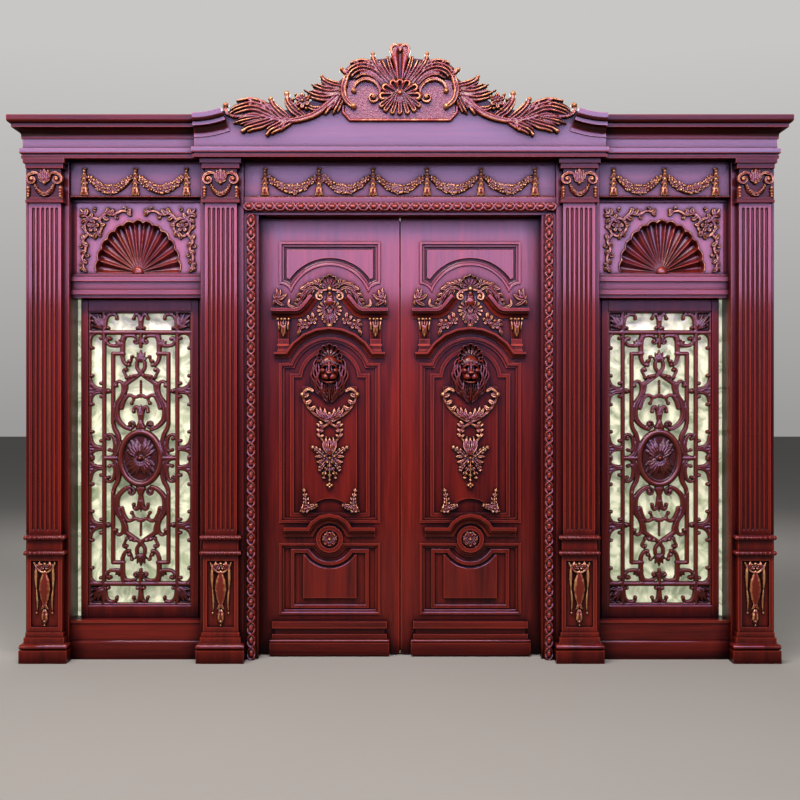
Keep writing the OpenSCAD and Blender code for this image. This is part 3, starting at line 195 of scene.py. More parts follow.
@dataclass
class Relief:
    """A carving drawn as heights over a flat ground, on a grid in millimetres.

    Each stroke raises the ground where it is higher than what is there, as a carver's cuts do.
    """

    left: float
    right: float
    low: float
    high: float
    pitch: float
    thinnest: float = 0.3
    hollow: float = 0.34
    # painted shade: shares of the ridge value kept on the outline and on the walls, so these are darker and less gilt
    rim_gild_and_shade: float = 0.75
    lip_gild_and_shade: float = 0.4
    u: np.ndarray = field(init=False)
    v: np.ndarray = field(init=False)
    height: np.ndarray = field(init=False)
    rim: np.ndarray = field(init=False)
    inside: np.ndarray = field(init=False)

    def __post_init__(self) -> None:
        """Lays out the grid."""
        nu = int(round((self.right - self.left) / self.pitch)) + 1
        nv = int(round((self.high - self.low) / self.pitch)) + 1
        self.u = np.linspace(self.left, self.right, nu)
        self.v = np.linspace(self.low, self.high, nv)
        self.height = np.zeros((nv, nu))
        self.rim = np.zeros((nv, nu))
        self.inside = np.full((nv, nu), OUTSIDE)

    def stroke(
        self,
        path: Path | np.ndarray,
        widths: Sequence[float],
        heights: Sequence[float],
        edge: float = 0.35,
        groove: float = 0.0,
    ) -> None:
        """Raises a rounded ridge along a line.

        Args:
            path: The points of the line.
            widths: Widths along the line, spread evenly.
            heights: Heights along the line, spread evenly.
            edge: Height of the ridge's edge as a share of its crown.
            groove: Depth of the hollow along the crown as a share of the height.
        """
        p = np.asarray(path, float)
        n = len(p)
        t = np.linspace(0, 1, n)
        r = np.interp(t, np.linspace(0, 1, len(widths)), widths) / 2
        h = np.interp(t, np.linspace(0, 1, len(heights)), heights)
        m = r.max() + 2 * self.pitch
        i0, i1 = np.searchsorted(self.u, [p[:, 0].min() - m, p[:, 0].max() + m])
        j0, j1 = np.searchsorted(self.v, [p[:, 1].min() - m, p[:, 1].max() + m])
        if i1 <= i0 or j1 <= j0:
            return
        uu, vv = np.meshgrid(self.u[i0:i1], self.v[j0:j1])
        best = np.full(uu.shape, -np.inf)
        deep = np.full(uu.shape, OUTSIDE)
        crown = np.zeros(uu.shape)
        for k in range(n - 1):
            a, d = p[k], p[k + 1] - p[k]
            f = np.clip(((uu - a[0]) * d[0] + (vv - a[1]) * d[1]) / max(d @ d, 1e-9), 0, 1)
            dist = np.hypot(uu - a[0] - f * d[0], vv - a[1] - f * d[1])
            rad = np.maximum(r[k] + (r[k + 1] - r[k]) * f, self.thinnest)
            score = 1 - dist / rad
            take = score > best
            best[take] = score[take]
            deep[take] = (rad - dist)[take]
            crown[take] = (h[k] + (h[k + 1] - h[k]) * f)[take]
        q = np.clip(1 - best, 0, 1)
        z = crown * (edge + (1 - edge) * np.sqrt(1 - q * q) - groove * np.exp(-((q / self.hollow) ** 2)))
        self._raise(slice(j0, j1), slice(i0, i1), deep, z, crown * edge)

    def _raise(self, rows: slice, cols: slice, deep: np.ndarray, z: np.ndarray, rim: np.ndarray) -> None:
        """Takes a stroke into the grid where it is the highest.

        Args:
            rows, cols: The part of the grid that the stroke covers.
            deep: How deep each point lies inside the stroke.
            z: The stroke's height.
            rim: Height of its edge.
        """
        here = self.height[rows, cols]
        over = (deep > 0) & (z > here)
        here[over] = z[over]
        edges = self.rim[rows, cols]
        fresh = (deep > 0) & (deep > self.inside[rows, cols])
        edges[fresh] = rim[fresh]
        self.inside[rows, cols] = np.maximum(self.inside[rows, cols], deep)

    def bands(self, rows: Sequence[tuple[Path, Sequence[float]]], heights: Sequence[float], count: int,
              edge: float, groove: float) -> None:
        """Raises several smooth ribbons, given as points and widths, each of count points."""
        for path, widths in rows:
            self.stroke(curve(path, count), widths, heights, edge, groove)

    def lobe(
        self, base: Point, tip: Point, width: float, height: float, bend: float = 0.0, groove: float = 0.25
    ) -> None:
        """Raises one pointed leaf.

        Args:
            base: Where the leaf starts.
            tip: Where it ends.
            width: Its greatest width.
            height: Its greatest height.
            bend: How far its middle is bent sideways, as a share of its length.
            groove: Depth of its groove as a share of the height.
        """
        a, b = np.asarray(base, float), np.asarray(tip, float)
        side = np.array([-(b - a)[1], (b - a)[0]]) * bend
        path = curve([tuple(a), tuple((a + b) / 2 + side), tuple(b)], 9)
        self.stroke(path, [width * 0.45, width * 0.95, width, width * 0.72, width * 0.12],
                    [height * 0.8, height, height * 0.95, height * 0.8, height * 0.6], 0.3, groove)

    def lobes(self, rows: Sequence[tuple[Point, Point, float]], height: float, bend: float = 0.0,
              groove: float = 0.25) -> None:
        """Raises several pointed leaves, given as base, tip and width."""
        for base, tip, width in rows:
            self.lobe(base, tip, width, height, bend, groove)

    def boss(self, center: Point, radius: float, height: float, edge: float = 0.3) -> None:
        """Raises a round knob."""
        c = np.asarray(center, float)
        self.stroke([c, c + [0.01, 0.0]], [2 * radius], [height], edge)

    def knobs(self, centers: Path, radius: float, height: float, edge: float = 0.3) -> None:
        """Raises several equal knobs."""
        for center in centers:
            self.boss(center, radius, height, edge)

    def scroll(self, center: Point, radius: float, start: float, turn: float, width: float, height: float) -> None:
        """Raises a volute with its eye.

        Args:
            center: The middle of the eye.
            radius: The volute's radius.
            start: The angle where it starts, in degrees.
            turn: How far it winds, in degrees, positive to the left.
            width: Width of its band.
            height: Height of its band.
        """
        line = spiral(center, radius - width / 2, start, turn, 0.22)
        self.stroke(line, [width, width * 0.8, width * 0.6], [height * 0.8, height, height * 1.05], 0.35, 0.22)
        self.boss(center, radius * 0.24, height * 1.12)

    def acanthus(self, path: Path, width: float, height: float, lobes: int, lean: float) -> None:
        """Raises a leaf with lobes to both sides of a bent spine.

        Args:
            path: Points of the spine from base to tip.
            width: Width across the lobes.
            height: Height of the ridges.
            lobes: Lobes on each side.
            lean: Angle between the spine and its lowest lobe, in degrees.
        """
        line = curve(path, 32)
        last = len(line) - 1
        w = width * 1.4 / lobes
        self.stroke(line, [width * q for q in (0.28, 0.6, 0.62, 0.5, 0.16)], [height * 0.55], 0.45)
        for k in range(lobes):
            t = 0.1 + 0.78 * k / max(lobes - 1, 1)
            i = int(t * last)
            way = line[min(i + 1, last)] - line[max(i - 1, 0)]
            along = math.atan2(way[1], way[0])
            reach = width * 0.62 * math.sin(math.pi * (0.28 + 0.6 * t)) * (1.12 - 0.3 * t)
            for side in (-1, 1):
                a = along + side * math.radians(lean * (1 - 0.45 * t))
                b = along + side * math.radians(lean * 0.3)
                mid = line[i] + reach * 0.55 * np.array([math.cos(a), math.sin(a)])
                tip = mid + reach * 0.6 * np.array([math.cos(b), math.sin(b)])
                self.stroke(curve([tuple(line[i]), tuple(mid), tuple(tip)], 8), [w * 0.5, w, w * 1.1, w * 0.55],
                            [height * 0.62, height * 0.8, height * 0.95, height * 0.75], 0.2, 0.3)
        self.stroke(line, [width * 0.2, width * 0.17, width * 0.1], [height * 0.9, height, height * 0.8], 0.4, 0.12)

    def plume(
        self, path: Path, widths: Sequence[float], height: float, ribs: int, flare: float, curl: float = 0.0
    ) -> None:
        """Raises a broad leaf of ribs side by side, whose ends spread apart.

        Args:
            path: Points of the leaf's middle line from base to tip.
            widths: Widths of the leaf along it, spread evenly.
            height: Height of the middle rib.
            ribs: How many ribs lie side by side.
            flare: How far the ribs' ends spread, as a share of the leaf's width.
            curl: Radius of the knob that the tip rolls into.
        """
        count = 30
        body, tip = int(count * 0.8), count // 2
        line = curve(path, count)
        way = np.gradient(line, axis=0)
        side = np.stack([-way[:, 1], way[:, 0]], 1) / np.linalg.norm(way, axis=1, keepdims=True)
        t = np.linspace(0, 1, count)
        wide = np.interp(t, np.linspace(0, 1, len(widths)), widths)
        self.stroke(line[:body], list(wide[:body] * 0.9), [height * 0.3], 0.8)
        for k in range(ribs):
            s = (k + 0.5) / ribs - 0.5
            last = 1.0 - 0.4 * abs(2 * s) ** 1.5
            n = max(int(count * last), 8)
            end = np.clip((t[:n] / last - 0.55) / 0.45, 0, 1) ** 2
            rib = line[:n] + (s * wide[:n] * (1 + flare * end))[:, None] * side[:n]
            self.stroke(rib, list(wide[:n] / ribs * 1.08 * (1 - 0.1 * end)),
                        [height * (1 - 0.5 * abs(s)) * q for q in (0.7, 0.9, 1.0, 0.9)], 0.1, 0.06)
        if curl:
            self.stroke(line[tip:], [curl * 1.1, curl * 1.5], [height * 0.9, height], 0.4, 0.15)
            self.boss(tuple(line[-1]), curl * 0.9, height, 0.45)

    def flower(self, center: Point, radius: float, height: float, petals: int = 5, start: float = 90.0) -> None:
        """Raises a flower of round petals about a bead.

        Args:
            center: The flower's middle.
            radius: Its radius.
            height: Height of the bead.
            petals: How many petals it has.
            start: The angle of the first petal, in degrees.
        """
        c = np.asarray(center, float)
        for k in range(petals):
            way = heading(start + 360 * k / petals)
            self.stroke([c + way * radius * 0.2, c + way * radius * 0.75],
                        [radius * 0.5, radius * 4.4 / petals], [height * 0.72, height * 0.86], 0.4, 0.3)
        self.boss(center, radius * 0.26, height)

    def dent(self, path: Path, width: float, depth: float) -> None:
        """Cuts a hollow along a line on both sides of the middle line.

        Args:
            path: The points of the line.
            width: Width of the hollow.
            depth: The share of the height that goes at its middle.
        """
        uu, vv = np.meshgrid(self.u, self.v)
        near = np.full(uu.shape, np.inf)
        for x, z in path:
            near = np.minimum(near, np.hypot(np.abs(uu) - x, vv - z))
        self.height *= 1 - depth * np.clip(1 - (2 * near / width) ** 2, 0, 1)

    def mirror(self) -> None:
        """Repeats the carving on the other side of the middle line."""
        self._double(1)

    def flip(self) -> None:
        """Repeats the carving upside down about the level middle line."""
        self._double(0)

    def _double(self, axis: int) -> None:
        """Adds the carving turned over along an axis of the grid.

        Args:
            axis: The axis of the grid.
        """
        turned = np.flip(self.inside, axis)
        self.height = np.maximum(self.height, np.flip(self.height, axis))
        self.rim = np.where(turned > self.inside, np.flip(self.rim, axis), self.rim)
        self.inside = np.maximum(self.inside, turned)

    def crest_mask(self) -> np.ndarray:
        """How far each point stands out of its surroundings, from 0 in a cut to 1 on a ridge.

        Returns:
            A value for each point of the grid.
        """
        soft = self.height.copy()
        for _ in range(3):
            pad = np.pad(soft, 2, mode="edge")
            soft = sum(pad[a : a + soft.shape[0], b : b + soft.shape[1]] for a in range(5) for b in range(5)) / 25
        top = max(float(self.height.max()), 1e-6)
        return np.clip(0.5 + 2.6 * (self.height - soft) / top + 0.35 * (self.height / top - 0.5), 0, 1)

    def cut(self) -> tuple[np.ndarray, np.ndarray, np.ndarray, np.ndarray]:
        """Cuts the grid clean along the carving's outline.

        Returns:
            The triangles and the rim's edges as point numbers, where a number past the grid's is a point on the
            outline, and for each of those points the grid's points inside and outside it.
        """
        keep = self.inside.ravel() > 0
        total = keep.size
        grid = np.arange(total).reshape(self.inside.shape)
        a, b, c, d = (g.ravel() for g in (grid[:-1, :-1], grid[:-1, 1:], grid[1:, 1:], grid[1:, :-1]))
        tri = np.concatenate([np.stack([a, b, c], 1), np.stack([a, c, d], 1)])
        count = keep[tri].sum(1)
        full, one, two = tri[count == 3], tri[count == 1], tri[count == 2]
        turn = np.arange(3)
        one = np.take_along_axis(one, (np.argmax(keep[one], 1)[:, None] + turn) % 3, 1)
        two = np.take_along_axis(two, (np.argmin(keep[two], 1)[:, None] + turn) % 3, 1)
        pairs = np.concatenate([one[:, 0] * total + one[:, 1], one[:, 0] * total + one[:, 2],
                                two[:, 1] * total + two[:, 0], two[:, 2] * total + two[:, 0]])
        keys, places = np.unique(pairs, return_inverse=True)
        n1, n2 = len(one), len(two)
        x1, x2, x3, x4 = np.split(places + total, [n1, 2 * n1, 2 * n1 + n2])
        faces = np.concatenate([full, np.stack([one[:, 0], x1, x2], 1), np.stack([x3, two[:, 1], two[:, 2]], 1),
                                np.stack([x3, two[:, 2], x4], 1)])
        rims = np.concatenate([np.stack([x1, x2], 1), np.stack([x4, x3], 1)])
        return faces, rims, keys // total, keys % total

    def mesh(self, name: str, place: Place, back: Back = Back.SEATED) -> Mesh:
        """The carving as a mesh.

        Args:
            name: The mesh's name.
            place: Turns across, up and height values into points in metres.
            back: How the hidden side is closed.

        Returns:
            A mesh with a value on its points that places both the gold and the painted shade: low in cuts and on the
            walls, high on ridges.
        """
        faces, rims, p, q = self.cut()
        f, h, g = self.inside.ravel(), self.height.ravel(), self.crest_mask().ravel()
        u, v = (side.ravel() for side in np.meshgrid(self.u, self.v))
        used, faces = np.unique(faces, return_inverse=True)
        faces, n = faces.reshape(-1, 3), len(used)
        fresh = np.full(len(f) + len(p), -1)
        fresh[used] = np.arange(n)
        rims = fresh[rims]
        t = f[p] / np.maximum(f[p] - f[q], 1e-9)
        u = np.concatenate([u, u[p] + t * (u[q] - u[p])])[used]
        v = np.concatenate([v, v[p] + t * (v[q] - v[p])])[used]
        h = np.concatenate([h, np.minimum(h[p], self.rim.ravel()[p])])[used]
        # painted shade: points on the outline take a lower value, so they are darker and less gilt
        g = np.concatenate([g, g[p] * self.rim_gild_and_shade])[used]
        points, gild = [place(u, v, h)], [g]
        if back is Back.SEATED:
            around, edge = np.unique(rims, return_inverse=True)
            m, (a, b) = len(around), n + edge.reshape(-1, 2).T
            u, v, h, g = u[around], v[around], h[around], g[around]
            points += [place(u, v, h), place(u, v, np.full(m, SEAT))]
            # painted shade: the walls take a lower value still and their foot none, darkest at the foot
            gild += [g * self.lip_gild_and_shade, np.zeros(m)]
            quads = np.stack([a, m + a, m + b, b], 1)
        else:
            a, b = rims.T
            points.append(place(u, v, np.zeros(n)))
            gild.append(np.zeros(n))
            faces = np.concatenate([faces, faces[:, ::-1] + n])
            quads = np.stack([a, n + a, n + b, b], 1)
        return plain_mesh(name, np.concatenate(points), faces, quads, np.concatenate(gild))


def plain_mesh(name: str, points: np.ndarray, tris: np.ndarray, quads: np.ndarray, gild: np.ndarray) -> Mesh:
    """A smooth mesh from arrays.

    Args:
        name: The mesh's name.
        points: Points in metres.
        tris: Triangles as point numbers.
        quads: Four-sided faces as point numbers.
        gild: At each point, the value that places both the gold and the painted shade.

    Returns:
        The mesh.
    """
    mesh = bpy.data.meshes.new(name)
    mesh.vertices.add(len(points))
    mesh.vertices.foreach_set("co", points.astype(np.float32).ravel())
    loops = np.concatenate([tris.ravel(), quads.ravel()]).astype(np.int32)
    mesh.loops.add(len(loops))
    mesh.loops.foreach_set("vertex_index", loops)
    starts = np.concatenate([np.arange(len(tris)) * 3, len(tris) * 3 + np.arange(len(quads)) * 4]).astype(np.int32)
    mesh.polygons.add(len(starts))
    mesh.polygons.foreach_set("loop_start", starts)
    mesh.polygons.foreach_set("use_smooth", np.ones(len(starts), bool))
    mesh.update(calc_edges=True)
    mesh.validate()
    layer = mesh.attributes.new("gild", "FLOAT", "POINT")
    layer.data.foreach_set("value", gild.astype(np.float32))
    return mesh


def closed_mesh(bm: bmesh.types.BMesh, name: str, round_off: float = 0.0) -> Mesh:
    """Turns a finished solid into a mesh and frees it.

    Args:
        bm: The solid.
        name: The mesh's name.
        round_off: Width of its eased edges in millimetres.

    Returns:
        The mesh.
    """
    if round_off:
        bmesh.ops.bevel(bm, geom=bm.edges[:], offset=round_off * MM, segments=2, affect="EDGES", profile=0.6)
    mesh = bpy.data.meshes.new(name)
    bm.to_mesh(mesh)
    bm.free()
    return mesh


def block_mesh(name: str, boxes: Sequence[Sequence[float]], round_off: float) -> Mesh:
    """Plain blocks with eased edges, as one mesh.

    Args:
        name: The mesh's name.
        boxes: For each block its low and high x, y and z in millimetres of the row frame.
        round_off: Width of the eased edge in millimetres.

    Returns:
        The mesh.
    """
    bm = bmesh.new()
    for box in boxes:
        sides = list(zip(box[::2], box[1::2]))
        for v in bmesh.ops.create_cube(bm, size=1.0)["verts"]:
            v.co = [(low if c < 0 else high) * MM for c, (low, high) in zip(v.co, sides)]
    return closed_mesh(bm, name, round_off)


def prism_mesh(name: str, outline: Path, ends: Point, upright: bool, round_off: float = 2.0) -> Mesh:
    """A board of constant section with eased edges.

    Args:
        name: The mesh's name.
        outline: The section in millimetres: x and y for an upright board, y and z for a level one.
        ends: Where it starts and ends, in millimetres.
        upright: Whether it runs upward, and otherwise across.
        round_off: Width of the eased edge in millimetres.

    Returns:
        The mesh.
    """
    bm = bmesh.new()
    first, last = ([bm.verts.new([c * MM for c in ((a, b, end) if upright else (end, a, b))]) for a, b in outline]
                   for end in ends)
    bm.faces.new(first)
    bm.faces.new(last[::-1])
    for i, (a, b) in enumerate(zip(first, last)):
        bm.faces.new((a, b, last[(i + 1) % len(last)], first[(i + 1) % len(first)]))
    bmesh.ops.recalc_face_normals(bm, faces=bm.faces[:])
    return closed_mesh(bm, name, round_off)


def pearl_mesh(name: str, radii: Spot, gild: float) -> Mesh:
    """A small rounded bead.

    Args:
        name: The mesh's name.
        radii: Half sizes along x, y and z in millimetres.
        gild: How much of it takes gold and how little painted shade, from 0 to 1.

    Returns:
        The mesh.
    """
    bm = bmesh.new()
    bmesh.ops.create_uvsphere(bm, u_segments=8, v_segments=6, radius=1.0)
    for v in bm.verts:
        v.co = [c * r * MM for c, r in zip(v.co, radii)]
    mesh = closed_mesh(bm, name)
    mesh.attributes.new("gild", "FLOAT", "POINT").data.foreach_set("value", np.full(len(mesh.vertices), gild))
    mesh.polygons.foreach_set("use_smooth", np.ones(len(mesh.polygons), bool))
    return mesh


def on_face(x: float, y: float, rise: float = 0.0) -> Place:
    """A placing on an upright face.

    Args:
        x: The middle across, in millimetres of the row frame.
        y: The face.
        rise: How far the carving is lifted.

    Returns:
        A function that turns across, up and height values into points in metres.
    """

    def place(u: np.ndarray, v: np.ndarray, h: np.ndarray) -> np.ndarray:
        """Points in metres."""
        return np.stack([x + u, y - h, v + rise], 1) * MM

    return place


def add_piece(mesh: Mesh, body: str, slot: Slot, material: Material, *nodes: str) -> None:
    """Puts a finished mesh on a body and lets it stand for CAD nodes.

    Args:
        mesh: The mesh, already in the row frame.
        body: The body that it moves with.
        slot: What it is made of; not used.
        material: Its finish.
        nodes: The CAD nodes that it stands for.
    """
    piece = bpy.data.objects.new(mesh.name, mesh)
    bpy.context.scene.collection.objects.link(piece)
    if not mesh.materials:
        mesh.materials.append(material)
    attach(piece, body)
    if nodes:
        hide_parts(*nodes)
    log.info("%s: %d faces on %s", piece.name, len(mesh.polygons), body)


def add_carving(name: str, carving: Relief, place: Place, material: Material, *nodes: str,
                body: str = "frame", slot: Slot = Slot.GILT) -> None:
    """Adds a carving that is seated on a face and may stand for CAD nodes."""
    add_piece(carving.mesh(name, place), body, slot, material, *nodes)


def add_blocks(name: str, boxes: Sequence[Sequence[float]], material: Material, *nodes: str,
               body: str = "frame", round_off: float = 2.0) -> None:
    """Adds plain wooden blocks as one piece that may stand for CAD nodes."""
    add_piece(block_mesh(name, boxes, round_off), body, Slot.WOOD, material, *nodes)


class Board:
    """A node tree with short ways to add and join nodes."""

    def __init__(self, tree: Tree) -> None:
        """Takes the tree to draw in."""
        self.tree = tree

    def wire(self, node: Node, values: dict[str | int, object]) -> Node:
        """Feeds a node's inputs.

        Args:
            node: The node.
            values: Names or numbers of inputs with a constant or with the output that feeds them.

        Returns:
            The same node.
        """
        for name, value in values.items():
            if isinstance(value, Socket):
                self.tree.links.new(value, node.inputs[name])
            else:
                node.inputs[name].default_value = value
        return node

    def add(self, kind: str, values: dict[str | int, object] | None = None, **settings: object) -> Node:
        """Adds a node.

        Args:
            kind: The node's type name.
            values: Names or numbers of inputs with a constant or with the output that feeds them.
            settings: Properties of the node.

        Returns:
            The node.
        """
        node = self.tree.nodes.new(kind)
        for name, value in settings.items():
            setattr(node, name, value)
        return self.wire(node, values or {})

    def group(self, tree: Tree, values: dict[str, object]) -> Node:
        """Places a shared group with its own values."""
        return self.add("ShaderNodeGroup", values, node_tree=tree)

    def noise(self, spot: Socket, scale: float, detail: float = 2.0, **more: float) -> Socket:
        """A soft random value at a point."""
        values = {"Vector": spot, "Scale": scale, "Detail": detail, **more}
        return self.add("ShaderNodeTexNoise", values).outputs["Fac"]

    def ramp(self, value: Socket, source: Point = (0.0, 1.0), target: Point = (0.0, 1.0)) -> Socket:
        """A value taken from one range to another and kept inside it."""
        ends = {"From Min": source[0], "From Max": source[1], "To Min": target[0], "To Max": target[1]}
        return self.add("ShaderNodeMapRange", {"Value": value, **ends}).outputs["Result"]

    def bump(self, height: Socket, strength: float, distance: float) -> Socket:
        """The normal of a surface that a height roughens."""
        values = {"Height": height, "Strength": strength, "Distance": distance}
        return self.add("ShaderNodeBump", values).outputs["Normal"]

    def mix(self, share: object, a: object, b: object) -> Socket:
        """The colour between a and b at a share."""
        return self.add("ShaderNodeMix", {0: share, 6: a, 7: b}, data_type="RGBA").outputs[2]

    def math(self, way: str, a: object, b: object) -> Socket:
        """A sum, product or other value of two numbers."""
        return self.add("ShaderNodeMath", {0: a, 1: b}, operation=way).outputs[0]


def shared_group(name: str, inputs: str, outputs: str) -> tuple[Board, dict, Node]:
    """An empty shader group with named sockets.

    Args:
        name: The group's name.
        inputs: Input names with their socket kinds, as in "Vector:Vector Cover:Float".
        outputs: Output names with their socket kinds.

    Returns:
        The group's board, the sockets to read from and the node to feed.
    """
    tree = bpy.data.node_groups.new(name, "ShaderNodeTree")
    for way, sockets in (("INPUT", inputs), ("OUTPUT", outputs)):
        for label, kind in (socket.split(":") for socket in sockets.split()):
            tree.interface.new_socket(label, in_out=way, socket_type=f"NodeSocket{kind}")
    take = {s.name: s for s in tree.nodes.new("NodeGroupInput").outputs}
    return Board(tree), take, tree.nodes.new("NodeGroupOutput")


def grain_group() -> Tree:
    """The shared figure of mahogany: broad bands, fine streaks and pores along the stretched axis.

    Returns:
        The group.
    """
    board, take, give = shared_group("mahogany_figure", "Vector:Vector Stretch:Vector", "Tone:Float Pore:Float")
    spot = board.add("ShaderNodeMapping", {"Vector": take["Vector"], "Scale": take["Stretch"]}).outputs["Vector"]
    band = board.math("MULTIPLY", board.noise(spot, 0.35, 3.0, Distortion=0.8), 0.55)
    streak = board.math("MULTIPLY", board.noise(spot, 2.2, 6.0, Roughness=0.62), 0.45)
    spread = board.math("MULTIPLY", board.math("SUBTRACT", board.math("ADD", band, streak), 0.5), 2.4)
    board.wire(give, {"Tone": board.math("ADD", spread, 0.5), "Pore": board.noise(spot, 9.0)})
    return board.tree


def gilt_group() -> Tree:
    """The shared rubbed gilding: gold on the ridges, broken by wear, and none in the cuts.

    Returns:
        The group.
    """
    board, take, give = shared_group("rubbed_gilding", "Vector:Vector Ridge:Float Cover:Float", "Mask:Float")
    worn = board.math("MULTIPLY", board.math("SUBTRACT", board.noise(take["Vector"], 46.0, 4.0), 0.5), 0.55)
    level = board.math("ADD", board.math("ADD", take["Ridge"], worn), take["Cover"])
    board.wire(give, {"Mask": board.ramp(level, (0.85, 1.25))})
    return board.tree


def shade_and_glaze_group() -> Tree:
    """The shared painted shade in corners, recesses and under mouldings, with dark glazing in the grooves: it darkens
    the colour there and takes the lacquer's reflection away.

    Returns:
        The group.
    """
    board, take, give = shared_group(
        "glaze_in_recesses", "Color:Color Glaze:Color Reach:Float Polish:Float", "Color:Color Coat:Float")
    # painted shade: ambient occlusion pulls the colour towards the shade colour near corners and under mouldings, and
    # cuts the coat there
    near = board.add("ShaderNodeAmbientOcclusion", {"Distance": take["Reach"]}, samples=AO_SAMPLES).outputs["AO"]
    open_air = board.ramp(near, (0.46, 0.97))
    coat = board.math("MULTIPLY", board.math("POWER", open_air, 2.0), take["Polish"])
    board.wire(give, {"Color": board.mix(open_air, take["Glaze"], take["Color"]), "Coat": coat})
    return board.tree


def edge_highlight_group() -> Tree:
    """The shared paler edges: a painted highlight along the edges, with the colour worn thin there.

    Returns:
        The group.
    """
    board, take, give = shared_group("rubbed_edges", "Color:Color Worn:Color", "Color:Color")
    # painted highlight: inside ambient occlusion finds convex edges and gives them the paler colour
    thick = board.add("ShaderNodeAmbientOcclusion", {"Distance": 0.008}, samples=AO_SAMPLES, inside=True,
                      only_local=True).outputs["AO"]
    edge = board.ramp(thick, (0.9, 0.4))
    board.wire(give, {"Color": board.mix(edge, take["Color"], take["Worn"])})
    return board.tree


class Shared:
    """The shader groups that more than one finish uses, made once."""

    grain: Tree
    gilt: Tree
    shade_and_glaze: Tree
    # rubbed: the paler edges, a painted highlight with wear
    rubbed: Tree

    @classmethod
    def make(cls) -> None:
        """Builds the groups."""
        cls.grain, cls.gilt, cls.shade_and_glaze, cls.rubbed = grain_group(), gilt_group(), shade_and_glaze_group(), edge_highlight_group()


def blank_material(name: str) -> tuple[Material, Board, Node, Socket]:
    """A material with only its shader.

    Args:
        name: The material's name.

    Returns:
        The material, its board, the shader node and the object coordinates.
    """
    material = bpy.data.materials.new(name)
    material.use_nodes = True
    material.node_tree.nodes.clear()
    board = Board(material.node_tree)
    shader = board.add("ShaderNodeBsdfPrincipled")
    board.add("ShaderNodeOutputMaterial", {"Surface": shader.outputs["BSDF"]})
    return material, board, shader, board.add("ShaderNodeTexCoord").outputs["Object"]


@dataclass(frozen=True)
class Lacquer:
    """Red mahogany under a thick clear lacquer."""

    name: str
    grain: Grain
    dark: Rgb = (0.022, 0.0014, 0.0011, 1.0)
    light: Rgb = (0.190, 0.0130, 0.0058, 1.0)
    # worn: colour of the edges, a painted highlight with wear
    worn: Rgb = (0.34, 0.040, 0.018, 1.0)
    # painted shade: near-black painted into corners, recesses and under mouldings, with some dark glazing in the
    # grooves
    glaze: Rgb = (0.003, 0.0003, 0.0003, 1.0)
    stretch: Point = (1.3, 26.0)  # fineness of the figure along and across the grain
    # reach: how far the painted shade spreads from a corner, in metres
    reach: float = 0.11
    polish: float = 0.36
    reflection_band: Point = (-1.0, 9.0)  # lowest and highest point that keeps the lacquer's reflection, in metres; outside it the reflection is taken away as painted shade
    rough: Point = (0.24, 0.36)
    pores: Point = (0.05, 0.002)  # strength, depth
    gloss: float = 0.08
    coat_rough: float = 0.09

    def material(self) -> Material:
        """Builds the finish.

        Returns:
            The material.
        """
        material, board, shader, spot = blank_material(self.name)
        along, across = self.stretch
        stretch = (across, across, along) if self.grain is Grain.UPRIGHT else (along, across, across)
        figure = board.group(Shared.grain, {"Vector": spot, "Stretch": stretch}).outputs
        wood = board.mix(figure["Tone"], self.dark, self.light)
        # painted highlight with wear along the edges
        highlighted_and_worn = board.group(Shared.rubbed, {"Color": wood, "Worn": self.worn}).outputs["Color"]
        # painted shade in recesses and under mouldings, with dark glazing in the grooves
        shaded_and_glazed = board.group(Shared.shade_and_glaze, {
            "Color": highlighted_and_worn, "Glaze": self.glaze, "Reach": self.reach, "Polish": self.polish}).outputs
        # painted shade: the coat is taken away outside the band of heights
        rise = board.add("ShaderNodeSeparateXYZ", {"Vector": spot}).outputs["Z"]
        lit = board.math("MULTIPLY", board.math("GREATER_THAN", rise, self.reflection_band[0]),
                         board.math("LESS_THAN", rise, self.reflection_band[1]))
        board.wire(shader, {
            "Base Color": shaded_and_glazed["Color"], "Coat Weight": board.math("MULTIPLY", shaded_and_glazed["Coat"], lit),
            "Roughness": board.ramp(figure["Pore"], target=self.rough),
            "Normal": board.bump(figure["Pore"], *self.pores),
            "Specular IOR Level": self.gloss, "Coat Roughness": self.coat_rough,
        })
        return material


